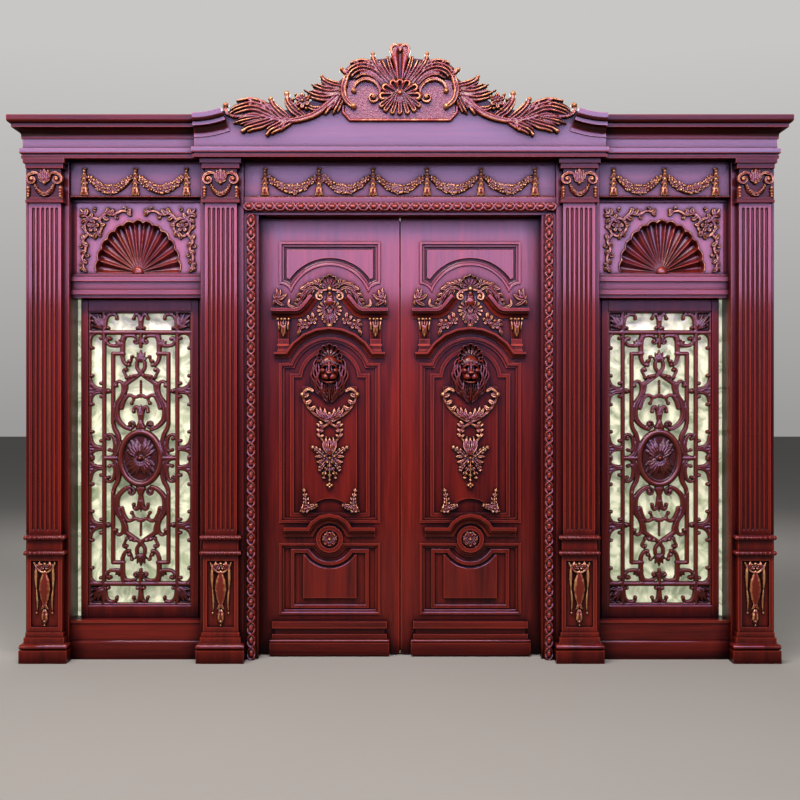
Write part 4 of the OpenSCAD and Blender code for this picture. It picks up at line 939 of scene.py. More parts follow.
@dataclass(frozen=True)
class Carving:
    """Carved mahogany with gold rubbed on its ridges and painted shade in its cuts."""

    name: str
    cover: float
    wood: Rgb = (0.20, 0.019, 0.007, 1.0)
    # deep: near-black painted shade for the cuts and recesses
    deep: Rgb = (0.006, 0.0006, 0.0005, 1.0)
    gold: Rgb = (0.32, 0.13, 0.034, 1.0)
    bright: Rgb = (0.86, 0.58, 0.24, 1.0)
    polish: float = 0.16
    # reach: how far the painted shade spreads from a recess, in metres
    reach: float = 0.04
    metal: float = 0.7
    rough: Point = (0.26, 0.36)
    grit: Spot = (240.0, 0.12, 0.002)  # fineness, strength, depth
    patch: float = 21.0
    gloss: float = 0.2
    coat_rough: float = 0.16

    def material(self) -> Material:
        """Builds the finish.

        Returns:
            The material.
        """
        material, board, shader, spot = blank_material(self.name)
        ridge = board.add("ShaderNodeAttribute", attribute_name="gild").outputs["Fac"]
        gilt = board.group(Shared.gilt, {"Vector": spot, "Ridge": ridge, "Cover": self.cover}).outputs["Mask"]
        # painted shade: the wood darkens towards the cuts by the same value that places the gold
        wood = board.mix(ridge, self.deep, self.wood)
        gold = board.mix(board.noise(spot, self.patch, 3.0), self.gold, self.bright)
        shaded_and_glazed = board.group(Shared.shade_and_glaze, {
            "Color": board.mix(gilt, wood, gold), "Glaze": self.deep, "Reach": self.reach,
            "Polish": self.polish}).outputs
        fine, strength, depth = self.grit
        board.wire(shader, {
            "Base Color": shaded_and_glazed["Color"], "Coat Weight": shaded_and_glazed["Coat"],
            "Metallic": board.math("MULTIPLY", gilt, self.metal), "Roughness": board.ramp(gilt, target=self.rough),
            "Normal": board.bump(board.noise(spot, fine), strength, depth),
            "Specular IOR Level": self.gloss, "Coat Roughness": self.coat_rough,
        })
        return material


@dataclass(frozen=True)
class Stipple:
    """Mahogany ground punched all over with small dents."""

    name: str = "punched_ground"
    color: Rgb = (0.05, 0.007, 0.006, 1.0)
    worn: Rgb = (0.16, 0.022, 0.016, 1.0)
    fineness: float = 110.0
    dent: Point = (0.8, 0.004)  # strength, depth
    rough: Point = (0.42, 0.28)
    gloss: float = 0.2
    polish: float = 0.12

    def material(self) -> Material:
        """Builds the finish.

        Returns:
            The material.
        """
        material, board, shader, spot = blank_material(self.name)
        dents = board.add("ShaderNodeTexVoronoi", {"Vector": spot, "Scale": self.fineness}).outputs["Distance"]
        board.wire(shader, {
            "Base Color": board.mix(dents, self.color, self.worn), "Normal": board.bump(dents, *self.dent),
            "Roughness": board.ramp(dents, target=self.rough),
            "Specular IOR Level": self.gloss, "Coat Weight": self.polish,
        })
        return material


@dataclass(frozen=True)
class CloudGlass:
    """Pale wispy glass whose emission is painted light standing in for the light behind it."""

    name: str = "cloud_glass"
    cream: Rgb = (0.86, 0.88, 0.68, 1.0)
    green: Rgb = (0.36, 0.43, 0.26, 1.0)
    fineness: float = 7.0
    twist: float = 2.2
    wisps: Point = (0.34, 0.58)
    ripple: Point = (0.25, 0.01)  # strength, depth
    painted_backlight: float = 0.36
    clear: float = 0.12
    rough: float = 0.22

    def material(self) -> Material:
        """Builds the finish.

        Returns:
            The material.
        """
        material, board, shader, spot = blank_material(self.name)
        cloud = board.noise(spot, self.fineness, 6.0, Distortion=self.twist)
        tint = board.mix(board.ramp(cloud, self.wisps), self.green, self.cream)
        # painted light: the glass gives off its own tint as though lit from behind
        board.wire(shader, {
            "Base Color": tint, "Emission Color": tint, "Normal": board.bump(cloud, *self.ripple),
            "Emission Strength": self.painted_backlight, "Transmission Weight": self.clear, "Roughness": self.rough,
        })
        return material


@dataclass(frozen=True)
class Brass:
    """Hinge brass with a dulled skin."""

    name: str = "hinge_brass"
    color: Rgb = (0.60, 0.42, 0.16, 1.0)
    dull: Rgb = (0.34, 0.22, 0.08, 1.0)
    fineness: float = 60.0
    rough: Point = (0.38, 0.22)

    def material(self) -> Material:
        """Builds the finish.

        Returns:
            The material.
        """
        material, board, shader, spot = blank_material(self.name)
        skin = board.noise(spot, self.fineness, 4.0)
        board.wire(shader, {
            "Base Color": board.mix(skin, self.dull, self.color), "Roughness": board.ramp(skin, target=self.rough),
            "Metallic": 1.0,
        })
        return material


@dataclass(frozen=True)
class Finishes:
    """Every finish of the door, made once."""

    upright: Material
    level: Material
    crown: Material
    pediment: Material
    frieze: Material
    gilded: Material
    carved: Material
    tinted: Material
    vine: Material
    pierced: Material
    shell: Material
    stipple: Material
    glass: Material
    brass: Material

    @classmethod
    def make(cls) -> Finishes:
        """Builds the finishes.

        Returns:
            The finishes.
        """
        Shared.make()
        # painted shade: darker copies of the lacquer for the cornices, the capitals' blocks, the pediment and the
        # friezes
        painted_shade_tones = {"dark": (0.008, 0.0006, 0.0005, 1.0), "light": (0.085, 0.0064, 0.0034, 1.0),
                 "worn": (0.20, 0.025, 0.012, 1.0)}
        fascia_low, fascia_high, over_all = 3.055, 3.135, 9.0
        recipes = {
            "upright": Lacquer("mahogany_upright", Grain.UPRIGHT),
            "level": Lacquer("mahogany_level", Grain.LEVEL),
            "crown": Lacquer("mahogany_crown", Grain.LEVEL, **painted_shade_tones, reflection_band=(fascia_low, fascia_high)),
            "pediment": Lacquer("mahogany_pediment", Grain.LEVEL, **painted_shade_tones, reflection_band=(fascia_low, over_all)),
            "frieze": Lacquer("mahogany_frieze", Grain.LEVEL, **painted_shade_tones),
            "gilded": Carving("gilded_carving", 0.09),
            "carved": Carving("bare_carving", -0.22),
            "tinted": Carving("half_gilded_carving", 0.0),
            "vine": Carving("vine_carving", -0.05, wood=(0.11, 0.011, 0.005, 1.0)),
            "pierced": Carving("pierced_carving", -0.3, wood=(0.105, 0.012, 0.0045, 1.0), polish=0.14),
            "shell": Lacquer("mahogany_shell", Grain.UPRIGHT, reach=0.03, polish=0.5),
            "stipple": Stipple(), "glass": CloudGlass(), "brass": Brass(),
        }
        return cls(**{name: recipe.material() for name, recipe in recipes.items()})


@dataclass
class Part:
    """A sub-assembly of the door, with the finishes that its pieces take."""

    finish: Finishes

    def build(self) -> None:
        """Makes the part's pieces."""
        raise NotImplementedError


@dataclass
class Crest(Part):
    """The carved crest over the doorway, with its punched tablet."""

    sheet: Sequence[float] = (-1080, 1080, 3120, 3704, 4.2)  # sides and pitch of the carving's grid
    face: float = row_y(302.0)
    plate: float = 4.0
    relief: float = 44.0
    stem: Path = ((364, 3383), (430, 3324), (511, 3267), (615, 3235), (706, 3235), (807, 3256), (910, 3259),
                  (992, 3253))
    feathers: Sequence[tuple] = (  # points, widths, ribs, flare, curl
        (((24, 3467), (56, 3548), (80, 3643)), (26, 32, 18), 2, 0.2, 0),
        (((42, 3460), (95, 3541), (121, 3604)), (30, 38, 24), 2, 0.3, 0),
        (((56, 3454), (115, 3522), (154, 3581), (161, 3625)), (38, 48, 40, 26), 3, 0.2, 15),
        (((75, 3448), (142, 3522), (216, 3548), (282, 3526), (322, 3467)), (40, 84, 104, 92, 64), 5, 0.2, 0),
        (((98, 3433), (154, 3483), (216, 3501), (263, 3480)), (30, 46, 42, 26), 3, 0.3, 0),
        (((157, 3526), (189, 3566), (216, 3598)), (24, 28, 16), 2, 0.2, 0),
        (((216, 3541), (253, 3566), (278, 3587)), (26, 30, 16), 2, 0.2, 0),
        (((282, 3507), (319, 3516), (346, 3533)), (30, 32, 24), 2, 0.1, 16),
        (((328, 3437), (393, 3442), (445, 3465), (463, 3489)), (42, 56, 44, 26), 3, 0.2, 14),
        (((337, 3415), (423, 3406), (485, 3424), (526, 3445)), (42, 62, 48, 22), 3, 0.5, 0),
        (((349, 3389), (445, 3371), (511, 3383), (570, 3411)), (42, 62, 48, 22), 3, 0.5, 0),
        (((346, 3371), (371, 3318), (399, 3270)), (38, 54, 46, 26), 3, 0.4, 0),
        (((405, 3329), (435, 3297), (458, 3267)), (28, 40, 26), 2, 0.4, 0),
    )
    leaves: Sequence[tuple] = (
        (((563, 3250), (622, 3288), (662, 3338), (671, 3389)), (42, 60, 50, 30), 3, 0.1, 20),
        (((652, 3235), (706, 3273), (751, 3318), (767, 3356)), (42, 60, 50, 28), 3, 0.1, 18),
        (((715, 3235), (792, 3288), (878, 3315), (969, 3294), (1020, 3262)), (46, 96, 108, 80, 26), 5, 0.5, 0),
        (((763, 3270), (804, 3319), (822, 3353)), (32, 44, 22), 2, 0.3, 0),
        (((822, 3294), (875, 3329), (916, 3350)), (32, 44, 22), 2, 0.3, 0),
        (((633, 3238), (706, 3202), (766, 3173), (789, 3146)), (38, 62, 48, 24), 3, 0.4, 11),
        (((745, 3238), (829, 3208), (899, 3188), (934, 3167)), (38, 62, 48, 26), 3, 0.4, 13),
        (((822, 3253), (910, 3235), (987, 3214)), (32, 48, 24), 3, 0.5, 0),
        (((667, 3235), (701, 3199), (715, 3161)), (26, 36, 20), 2, 0.3, 0),
        (((460, 3309), (511, 3300), (553, 3321)), (24, 34, 18), 2, 0.3, 0),
    )
    berries: Path = ((619, 3383), (636, 3353), (538, 3371), (556, 3300), (600, 3294))
    ribs: Path = ((90, 88), (57, 96), (25, 114), (-6, 122))  # angle, length
    husks: Path = ((0, 3266), (44, 3268), (84, 3282), (110, 3306))
    hub: float = 3383.0

    def draw(self) -> Relief:
        """Carves the right half and mirrors it.

        Returns:
            The carving.
        """
        r = Relief(*self.sheet)
        h = self.relief
        r.stroke([(0, 3236), (296, 3236), (338, 3282), (338, 3330)], [20], [18], 0.5)
        r.stroke(curve(self.stem, 40), [50, 46, 40, 36, 30, 24, 18], [h * 0.72, h * 0.8, h * 0.7, h * 0.6], 0.35, 0.2)
        for path, widths, ribs, flare, curl in (*self.feathers, *self.leaves):
            r.plume(path, widths, h * 0.95, ribs, flare, curl)
        r.stroke([(0, 3474), (0, 3548), (0, 3604), (0, 3634)], [44, 72, 104, 108],
                 [h * 0.8, h * 0.95, h * 1.05, h], 0.5, 0.5)
        r.stroke(curve(((0, 3640), (14, 3668), (36, 3674), (52, 3656), (50, 3630), (36, 3600))), [16, 20, 18, 10],
                 [h * 1.1, h * 1.1, h * 0.9], 0.5, 0.15)
        self.scrolls(r)
        self.shell(r)
        r.flower((579, 3347), 44, h, 6)
        r.knobs(self.berries, 11, h * 0.95)
        r.mirror()
        return r

    def scrolls(self, r: Relief) -> None:
        """Carves the volutes and the C-scrolls beside the shell.

        Args:
            r: The carving to work on.
        """
        h = self.relief
        r.scroll((161, 3368), 44, 150, 460, 18, h * 0.9)
        r.stroke(curve(((118, 3383), (124, 3427), (157, 3462), (208, 3476), (257, 3454), (282, 3409))), [18, 24, 18],
                 [h * 0.8, h, h * 0.8], 0.4, 0.25)
        r.boss((272, 3406), 15, h * 0.9)
        r.stroke(curve(((319, 3486), (337, 3415), (319, 3349), (272, 3309))), [36, 40, 34, 26],
                 [h * 0.9, h * 1.05, h * 0.9], 0.4, 0.28)
        r.boss((275, 3315), 19, h)
        r.knobs([(358 + 2 * k - k * k, 3433 - 27 * k) for k in range(5)], 8, h * 0.9)
        r.stroke(curve(((984, 3256), (1026, 3273), (1040, 3318))), [16, 24, 26], [h * 0.7, h * 0.9], 0.4, 0.2)
        r.boss((1034, 3321), 18, h)

    def shell(self, r: Relief) -> None:
        """Carves the shell in the middle of the tablet.

        Args:
            r: The carving to work on.
        """
        h = self.relief
        hub = np.array([0.0, self.hub])
        for angle, reach in self.ribs:
            way = heading(angle)
            r.stroke([hub + way * 16, hub + way * reach * 0.6, hub + way * (reach - 20)], [14, 40, 54],
                     [h * 0.7, h * 0.9, h * 1.08], 0.55, 0.55)
        top = self.hub + 25
        for x, z in self.husks:
            r.stroke([(x * 0.12, top), (x * 0.55, (top + z) / 2), (x, z + 14)], [12, 24, 34],
                     [h, h * 1.05, h * 0.95], 0.45, 0.4)
        r.boss((0, self.hub + 9), 18, h * 1.12)

    def build(self) -> None:
        """Makes the crest and the tablet's ground."""
        place = on_face(0, self.face)
        crest = self.draw().mesh("crest_relief", place, Back.FLAT)
        add_piece(crest, "frame", Slot.GILT, self.finish.tinted, "crest_carving")
        ground = Relief(-344, 344, 3230, 3484, 6.0)
        for z in (3311.0, 3402.0):
            ground.stroke([(-262, z), (262, z)], [148], [self.plate], 1.0)
        add_carving("tablet_ground", ground, place, self.finish.stipple, slot=Slot.WOOD)


@dataclass
class Capitals(Part):
    """The four scroll capitals."""

    sheet: Sequence[float] = (-124, 124, 2766, 2972, 2.6)  # sides and pitch of the carving's grid
    face: float = row_y(250.0)
    back: float = row_y(205.0)
    foot: float = 2754.0
    top: float = 3019.0
    relief: float = 26.0
    leaves: Sequence[Spot] = ((22, 2956, 21), (44, 2944, 18), (0, 2964, 22), (36, 2900, 16))  # tip, width
    drop: Sequence[float] = (2842, 2824, 2806, 2792)

    def draw(self) -> Relief:
        """Carves one capital about its middle line.

        Returns:
            The carving.
        """
        r = Relief(*self.sheet)
        h = self.relief
        r.stroke(curve([(4, 2880), (22, 2906), (40, 2928), (70, 2934)]), [14, 18, 20],
                 [h * 0.7, h * 0.9, h], 0.2, 0.25)
        r.scroll((74, 2893), 46, 104, -440, 20, h * 1.1)
        r.boss((74, 2893), 15, h * 1.25)
        r.lobes([((3, 2876), (x, z), w) for x, z, w in self.leaves], h, -0.08, 0.3)
        line = curve([(58, 2862), (40, 2826), (0, 2802), (-40, 2826), (-58, 2862)], 30)
        r.stroke(line, [18, 30, 34, 30, 18], [h * 0.6], 0.2)
        rng = np.random.default_rng(7)
        for t in np.linspace(0, 0.95, 8):
            for off in (-10, 0, 10):
                c = (56 * t + rng.uniform(-2, 2), 2804 + 54 * t * t + off * (1 - 0.5 * t) + rng.uniform(-2, 2))
                r.boss(c, rng.uniform(5.0, 7.0), h * rng.uniform(0.85, 1.05))
        for k, z in enumerate(self.drop):
            r.boss((96, z), 12 - k, h * 0.95)
            r.lobe((96, z), (110, z - 14), 14, h * 0.8)
        r.boss((0, 2872), 11, h * 1.15)
        r.mirror()
        return r

    def build(self) -> None:
        """Makes each capital's blocks and carving."""
        carved = self.draw()
        foot, top = self.foot, self.top
        steps = (  # half width, reach forward, low, high
            (95, 0, foot, top), (113, 18, foot, foot + 17), (106, 11, foot + 17, foot + 34),
            (124.5, 29.5, top - 30, top), (113, 18, top - 60, top - 30),
        )
        for name, x in PILASTERS.items():
            boxes = [(x - half, x + half, self.face - out, self.back, low, high) for half, out, low, high in steps]
            # the capitals' blocks take the darker crown finish, with painted shade
            add_blocks(f"capital_block_{name}", boxes, self.finish.crown, f"capital_{name}")
            add_carving(f"capital_carving_{name}", carved, on_face(x, self.face), self.finish.tinted)


@dataclass
class Swags(Part):
    """The fruit swags and husk drops on the friezes."""

    face: float = row_y(180.0)
    relief: float = 26.0
    hang: float = 2846.0
    sag: float = 78.0
    bay_drops: Sequence[float] = (-309, 0, 309)
    door_drops: Sequence[float] = (-817.5, -490.5, -163.5, 163.5, 490.5, 817.5)

    def drop(self, r: Relief, x: float) -> None:
        """Carves one hanging drop of husks.

        Args:
            r: The carving to work on.
            x: The middle of the drop.
        """
        h = self.relief
        for side in (-1, 1):
            r.lobe((x, 2952), (x + side * 15, 2978), 20, h * 0.8, side * 0.2)
            for z in (2938, 2906, 2874, 2846):
                r.lobe((x, z), (x + side * 23, z - 24), 20, h * 0.85, -side * 0.15)
        r.boss((x, 2958), 11, h)
        for z, tip, w in ((2948, 2912, 26), (2918, 2882, 28), (2888, 2852, 30), (2860, 2808, 42)):
            r.lobe((x, z), (x, tip), w, h)
            r.boss((x, z - 8), 9.5, h * 1.08)
        for side in (-1, 1):
            r.lobe((x + side * 4, 2858), (x + side * 23, 2808), 24, h * 0.92, -side * 0.08)

    def swag(self, r: Relief, a: float, b: float) -> None:
        """Carves one crescent of fruit and leaves between two drops.

        Args:
            r: The carving to work on.
            a: The first drop.
            b: The second drop.
        """
        h = self.relief
        rng = np.random.default_rng(int(abs(a) * 3 + abs(b)))
        mid, half = (a + b) / 2, (b - a) / 2 - 20
        line = [(mid + half * t, self.hang + self.sag * t * t) for t in np.linspace(-1, 1, 25)]
        r.stroke(line, [26, 48, 62, 48, 26], [h * 0.5, h * 0.62, h * 0.62, h * 0.5], 0.35)
        for t in np.linspace(-0.94, 0.94, 19):
            wide = 30 * (1 - 0.55 * abs(t))
            for off in (-0.72, 0.0, 0.72):
                c = (mid + half * t + rng.uniform(-4, 4),
                     self.hang + self.sag * t * t + off * wide + rng.uniform(-3, 3))
                if rng.random() < 0.3:
                    r.flower(c, 13, h * 0.98, 5, rng.uniform(0, 72))
                else:
                    r.boss(c, rng.uniform(6.5, 9.5), h * rng.uniform(0.8, 1.0))
        r.flower((mid, self.hang), 23, h * 1.1, 6)
        for side in (-1, 1):
            for k in range(3):
                t = side * (0.9 - 0.1 * k)
                c = (mid + half * t, self.hang + self.sag * t * t)
                r.lobe(c, (c[0] - side * 18, c[1] + 20), 13, h * 0.8, 0.1)
                r.lobe(c, (c[0] - side * 20, c[1] - 16), 13, h * 0.8, -0.1)

    def build(self) -> None:
        """Makes the carving of the three friezes."""
        for part, x, drops in (("left", -BAY_X, self.bay_drops), ("right", BAY_X, self.bay_drops),
                               ("center", 0.0, self.door_drops)):
            r = Relief(drops[0] - 32, drops[-1] + 32, 2802, 2984, 3.2)
            for a, b in zip(drops, drops[1:]):
                self.swag(r, a, b)
            for d in drops:
                self.drop(r, d)
            add_carving(f"swags_{part}_carving", r, on_face(x, self.face), self.finish.gilded, f"swags_{part}")


@dataclass
class ShellPanels(Part):
    """The panels over the sidelights, each with a hollow shell and vine scrolls."""

    face: float = row_y(120.0)
    rail_face: float = row_y(150.0)
    half: float = 397.5
    foot: float = 2339.2
    top: float = 2800.0
    hub: float = 2353.2
    width: float = 262.0
    rise: float = 318.0
    lobes: int = 13
    sink: float = 46.0
    relief: float = 22.0
    bold: float = 1.3
    tails: Sequence[tuple] = (  # points, widths
        (((232, 2676), (196, 2708), (146, 2704), (98, 2726), (44, 2716)), (17, 16, 14, 10)),
        (((306, 2584), (334, 2544), (318, 2492), (338, 2440), (328, 2366)), (17, 16, 14, 10)),
        (((286, 2664), (318, 2696), (350, 2736)), (16, 14, 10)),
    )
    curls: Sequence[tuple] = (  # middle, first angle, turn
        ((128, 2686), 90, -330), ((84, 2744), -90, -330), ((348, 2512), 180, 330), ((306, 2456), 0, -330),
        ((346, 2404), 180, 330), ((262, 2740), -90, 330),
    )
    sprigs: Sequence[tuple] = (  # base, tip, width
        ((196, 2706), (184, 2750), 26), ((170, 2706), (150, 2742), 24), ((210, 2690), (178, 2676), 24),
        ((66, 2720), (40, 2742), 20), ((60, 2720), (36, 2700), 18), ((330, 2550), (352, 2580), 24),
        ((328, 2530), (302, 2516), 24), ((322, 2480), (346, 2462), 22), ((332, 2430), (308, 2410), 22),
        ((330, 2380), (312, 2352), 20), ((334, 2380), (350, 2360), 20), ((318, 2698), (356, 2694), 26),
        ((322, 2700), (318, 2744), 26), ((300, 2680), (280, 2716), 22), ((312, 2672), (346, 2652), 22),
        ((322, 2612), (350, 2636), 22), ((236, 2604), (226, 2570), 24), ((250, 2590), (262, 2552), 24),
        ((226, 2640), (200, 2650), 20),
    )

    def hollow(self) -> Relief:
        """Carves the board with its hollow shell.

        Returns:
            The carving.
        """
        r = Relief(-self.half, self.half, self.foot, self.top, 4.3)
        uu, vv = np.meshgrid(r.u, r.v)
        x, z = uu / self.width, (vv - self.hub) / self.rise
        far, angle = np.hypot(x, z), np.arctan2(z, x)
        lobe = np.abs(np.sin(angle * self.lobes))
        rim = 0.95 + 0.05 * lobe**0.7
        depth = self.sink * np.sin(np.clip(far / rim, 0, 1) ** 0.8 * math.pi / 2) * (0.42 + 0.58 * lobe**0.8)
        wall = np.clip((rim - far) / 0.035, 0, 1)
        r.height = np.where((vv >= self.hub) & (far < rim), -depth * wall, 0.0)
        r.inside[:] = -OUTSIDE
        return r

    def vines(self) -> Relief:
        """Carves the shell's rim and the vine in the right corner, and mirrors them.

        Returns:
            The carving.
        """
        r = Relief(-self.half, self.half, self.foot, self.top, 3.3)
        h = self.relief
        turn = np.radians(np.linspace(1, 179, 240))
        share = 0.955 + 0.05 * np.abs(np.sin(turn * self.lobes)) ** 0.7
        r.stroke(np.stack([self.width * share * np.cos(turn), self.hub + self.rise * share * np.sin(turn)], 1),
                 [9], [8], 0.5)
        r.stroke(spiral((268, 2630), 58, -80, 350, 0.8), [18, 20, 14], [h * 0.8, h * 0.9, h * 0.7], 0.4, 0.2)
        r.flower((272, 2632), 34, h, 5, 20)
        r.bands([(path, np.multiply(widths, self.bold)) for path, widths in self.tails], [h * 0.85], 30, 0.4, 0.15)
        for c, start, turn in self.curls:
            r.scroll(c, 19, start, turn, 11, h * 0.9)
        r.lobes([(a, b, w * self.bold) for a, b, w in self.sprigs], h, 0.14, 0.3)
        r.mirror()
        return r

    def build(self) -> None:
        """Makes both panels with their transom rails."""
        hollow, vines = self.hollow(), self.vines()
        hub = Relief(-40, 40, self.foot, 2400, 2.4)
        hub.boss((0, self.hub), 34, 30)
        face, rail, t = self.face, self.rail_face, BAY_TOP
        levels = (  # front, back, low, high
            (face + 64, row_y(28.0), self.foot, self.top), (rail, row_y(0.0), t, self.foot),
            (rail - 14, rail + 8, t + 20, t + 48), (rail - 14, rail + 8, t + 100, t + 128),
            (face - 10, face + 20, self.top - 22, self.top),
        )
        for side, s in SIDES.items():
            x = s * BAY_X
            add_carving(f"shell_board_{side}", hollow, on_face(x, face), self.finish.shell, f"shell_panel_{side}",
                        slot=Slot.WOOD)
            boxes = [(x - self.half, x + self.half, *level) for level in levels]
            add_blocks(f"transom_{side}", boxes, self.finish.level)
            add_carving(f"shell_hub_{side}", hub, on_face(x, face + 6), self.finish.carved, slot=Slot.WOOD)
            add_carving(f"shell_vines_{side}", vines, on_face(x, face), self.finish.vine)


@dataclass
class Trophies(Part):
    """The hanging carvings in the pedestals' sunk panels."""

    sheet: Sequence[float] = (-80, 80, 212, 610, 2.6)  # sides and pitch of the carving's grid
    face: float = row_y(246.0)
    relief: float = 19.0

    def draw(self) -> Relief:
        """Carves one trophy about its middle line.

        Returns:
            The carving.
        """
        r = Relief(*self.sheet)
        h = self.relief
        r.stroke(curve([(62, 596), (44, 560), (0, 536), (-44, 560), (-62, 596)]), [8, 12, 13, 12, 8], [h], 0.4, 0.2)
        r.lobes([((26 + 11 * k, 556 + 9 * k), (22 + 12 * k, 578 + 6 * k), 12) for k in range(4)], h * 0.8)
        r.flower((17, 572), 16, h * 1.05, 5)
        r.boss((0, 590), 10, h)
        r.lobe((0, 540), (4, 330), 54, h * 1.15, 0.03, 0.12)
        r.lobe((10, 520), (28, 400), 18, h, -0.08)
        r.lobe((30, 600), (36, 545), 22, h * 1.02)
        r.lobe((49, 582), (49, 428), 20, h * 1.05, 0.02, 0.1)
        r.lobe((50, 440), (46, 300), 13, h * 0.9, -0.03)
        r.boss((47, 296), 7, h)
        r.lobes([((4, z), (22, z - 34), w * 0.55) for z, w in ((350, 34), (316, 28), (284, 22))], h * 0.95, -0.12)
        r.lobe((0, 300), (0, 228), 40, h * 1.1)
        r.boss((0, 246), 8, h * 1.15)
        r.boss((0, 222), 6, h)
        r.mirror()
        return r

    def build(self) -> None:
        """Makes the four carvings."""
        carved = self.draw()
        for name, x in PILASTERS.items():
            add_carving(f"trophy_{name}", carved, on_face(x, self.face), self.finish.gilded)


@dataclass
class Grilles(Part):
    """The pierced scroll grilles of the sidelights, in their sashes.

    The tables show a quarter of the grille, in millimetres from its middle.
    """

    half: float = 318.0
    tall: float = 906.0
    middle: float = 1213.1
    face: float = row_y(80.0)
    back: float = row_y(80.0) + 46.0
    seat: float = row_y(80.0) + 46.0 - 7.0
    stile: float = 44.0
    rail: float = 74.0
    stop: float = 35.0
    thick: float = 28.0
    bars: Sequence[tuple] = (  # points, width
        (((314, 0), (314, 902), (0, 902)), 18), (((226, 0), (226, 906)), 25), (((0, 776), (318, 776)), 30),
        (((106, 645), (171, 645), (171, 215)), 25), (((140, 0), (226, 0)), 25), (((0, 478), (0, 388)), 13),
        (((0, 690), (0, 776)), 22),
    )
    bands: Sequence[tuple] = (  # points, widths
        (((221, 800), (216, 850), (200, 880), (172, 888), (150, 878), (148, 862)), (26, 24, 22, 18)),
        (((44, 860), (36, 882), (18, 884), (6, 858), (0, 800)), (18, 20, 24, 28)),
        (((100, 770), (112, 725), (113, 660), (114, 627), (103, 592), (82, 574), (70, 588)), (36, 34, 30, 26, 24, 18)),
        (((112, 738), (90, 752), (60, 756), (34, 750)), (22, 20, 20)),
        (((121, 700), (153, 694), (190, 697), (207, 716), (200, 744), (182, 740)), (28, 24, 22, 20, 16)),
        (((86, 574), (66, 592), (54, 624)), (18, 20, 16)),
        (((92, 556), (108, 542), (98, 520), (84, 496), (60, 498), (46, 512)), (16, 18, 18, 16)),
        (((-24, 590), (-22, 554), (11, 515), (60, 482), (95, 457)), (24, 24, 26, 30, 32)),
        (((92, 460), (96, 424), (110, 388)), (34, 34, 32)),
        (((152, 444), (149, 466), (132, 475), (112, 456), (108, 413), (118, 376), (140, 338), (150, 281),
          (137, 231), (101, 194), (66, 178)), (14, 20, 22, 24, 28, 34, 40, 38, 34, 30, 26)),
        (((56, 338), (44, 366), (58, 386), (84, 384), (106, 350), (118, 310)), (14, 20, 24, 26, 28)),
        (((52, 382), (26, 376), (12, 386), (0, 380)), (20, 22, 22)),
        (((0, 236), (12, 296), (28, 316), (42, 304), (44, 288)), (32, 28, 24, 16)),
        (((171, 220), (164, 185), (143, 143), (136, 93), (148, 40), (176, 6), (226, 0)), (26, 28, 32, 36, 36, 32, 26)),
        (((216, 122), (206, 142), (186, 144), (168, 124), (160, 74), (172, 44), (194, 50)), (18, 20, 22, 24, 22, 16)),
        (((311, 690), (312, 735), (296, 764), (266, 777), (232, 768)), (20, 24, 28, 28)),
        (((312, 490), (302, 457), (276, 432), (230, 418)), (20, 24, 30, 34)),
        (((311, 338), (305, 376), (282, 404), (230, 414)), (20, 24, 30, 34)),
        (((311, 137), (301, 93), (276, 68), (230, 58)), (20, 24, 30, 34)),
        (((310, 8), (300, 36), (276, 52), (230, 60)), (20, 24, 28, 32)),
    )
    knobs: Path = (
        (148, 862), (44, 862), (200, 803), (20, 803), (188, 736), (72, 598), (54, 626), (88, 497), (62, 503),
        (34, 508), (88, 544), (152, 446), (56, 338), (44, 287), (198, 119), (194, 50), (298, 680), (247, 740),
        (298, 508), (245, 462), (298, 331), (245, 380), (298, 162), (246, 106), (298, 6), (72, 574),
    )
    volutes: Sequence[tuple] = (((31, 722), 32, 80, 420), ((60, 209), 36, -80, -420))  # middle, radius, start, turn
    corner: Sequence[tuple] = (  # tip, width
        ((316, 898), 26), ((276, 900), 21), ((240, 886), 18), ((318, 860), 21), ((306, 818), 18),
    )
    palmettes: Sequence[tuple] = (  # base, tips with widths
        ((0, 594), ((0, 672, 26), (26, 656, 24), (42, 626, 22))), ((0, 244), ((0, 334, 26), (24, 322, 24))),
        ((0, 826), ((0, 900, 26), (20, 898, 18))),
    )
    tips: Sequence[tuple] = (  # base, tip, width
        ((112, 690), (140, 734), 28), ((124, 700), (160, 722), 24), ((116, 720), (90, 744), 22),
        ((150, 300), (166, 340), 22), ((146, 250), (168, 226), 20), ((206, 428), (184, 402), 22),
        ((206, 400), (184, 424), 22), ((322, 416), (250, 416), 44), ((322, 62), (250, 62), 38),
        ((112, 396), (92, 356), 22), ((84, 196), (50, 182), 24),
    )
    petals: Sequence[tuple] = (  # angle, length, stretch, start across and up, width, height
        (2, 66, 1.2, 10, 10, 26, 1.2), (88, 78, 1.2, 10, 10, 28, 1.2), (24, 92, 1.24, 20, 22, 31, 1.35),
        (40, 108, 1.24, 20, 22, 31, 1.35), (56, 108, 1.24, 20, 22, 31, 1.35), (72, 100, 1.24, 20, 22, 31, 1.35),
    )

    def draw(self) -> Relief:
        """Carves a quarter and repeats it.

        Returns:
            The carving.
        """
        edge = 6
        r = Relief(-self.half - edge, self.half + edge, -self.tall - edge, self.tall + edge, 4.4)
        h = self.thick
        for path, w in self.bars:
            r.stroke(path, [w], [h], 0.6)
        r.stroke([(0, 192), (0, 216)], [64, 38], [h * 1.1], 0.5)
        r.bands(self.bands, [h * 1.05], 34, 0.35, 0.16)
        r.knobs(self.knobs, 12.5, h * 1.2, 0.4)
        for c, size, start, turn in self.volutes:
            r.scroll(c, size, start, turn, 17, h * 1.1)
        self.leaves(r)
        self.oval(r)
        r.mirror()
        r.flip()
        return r

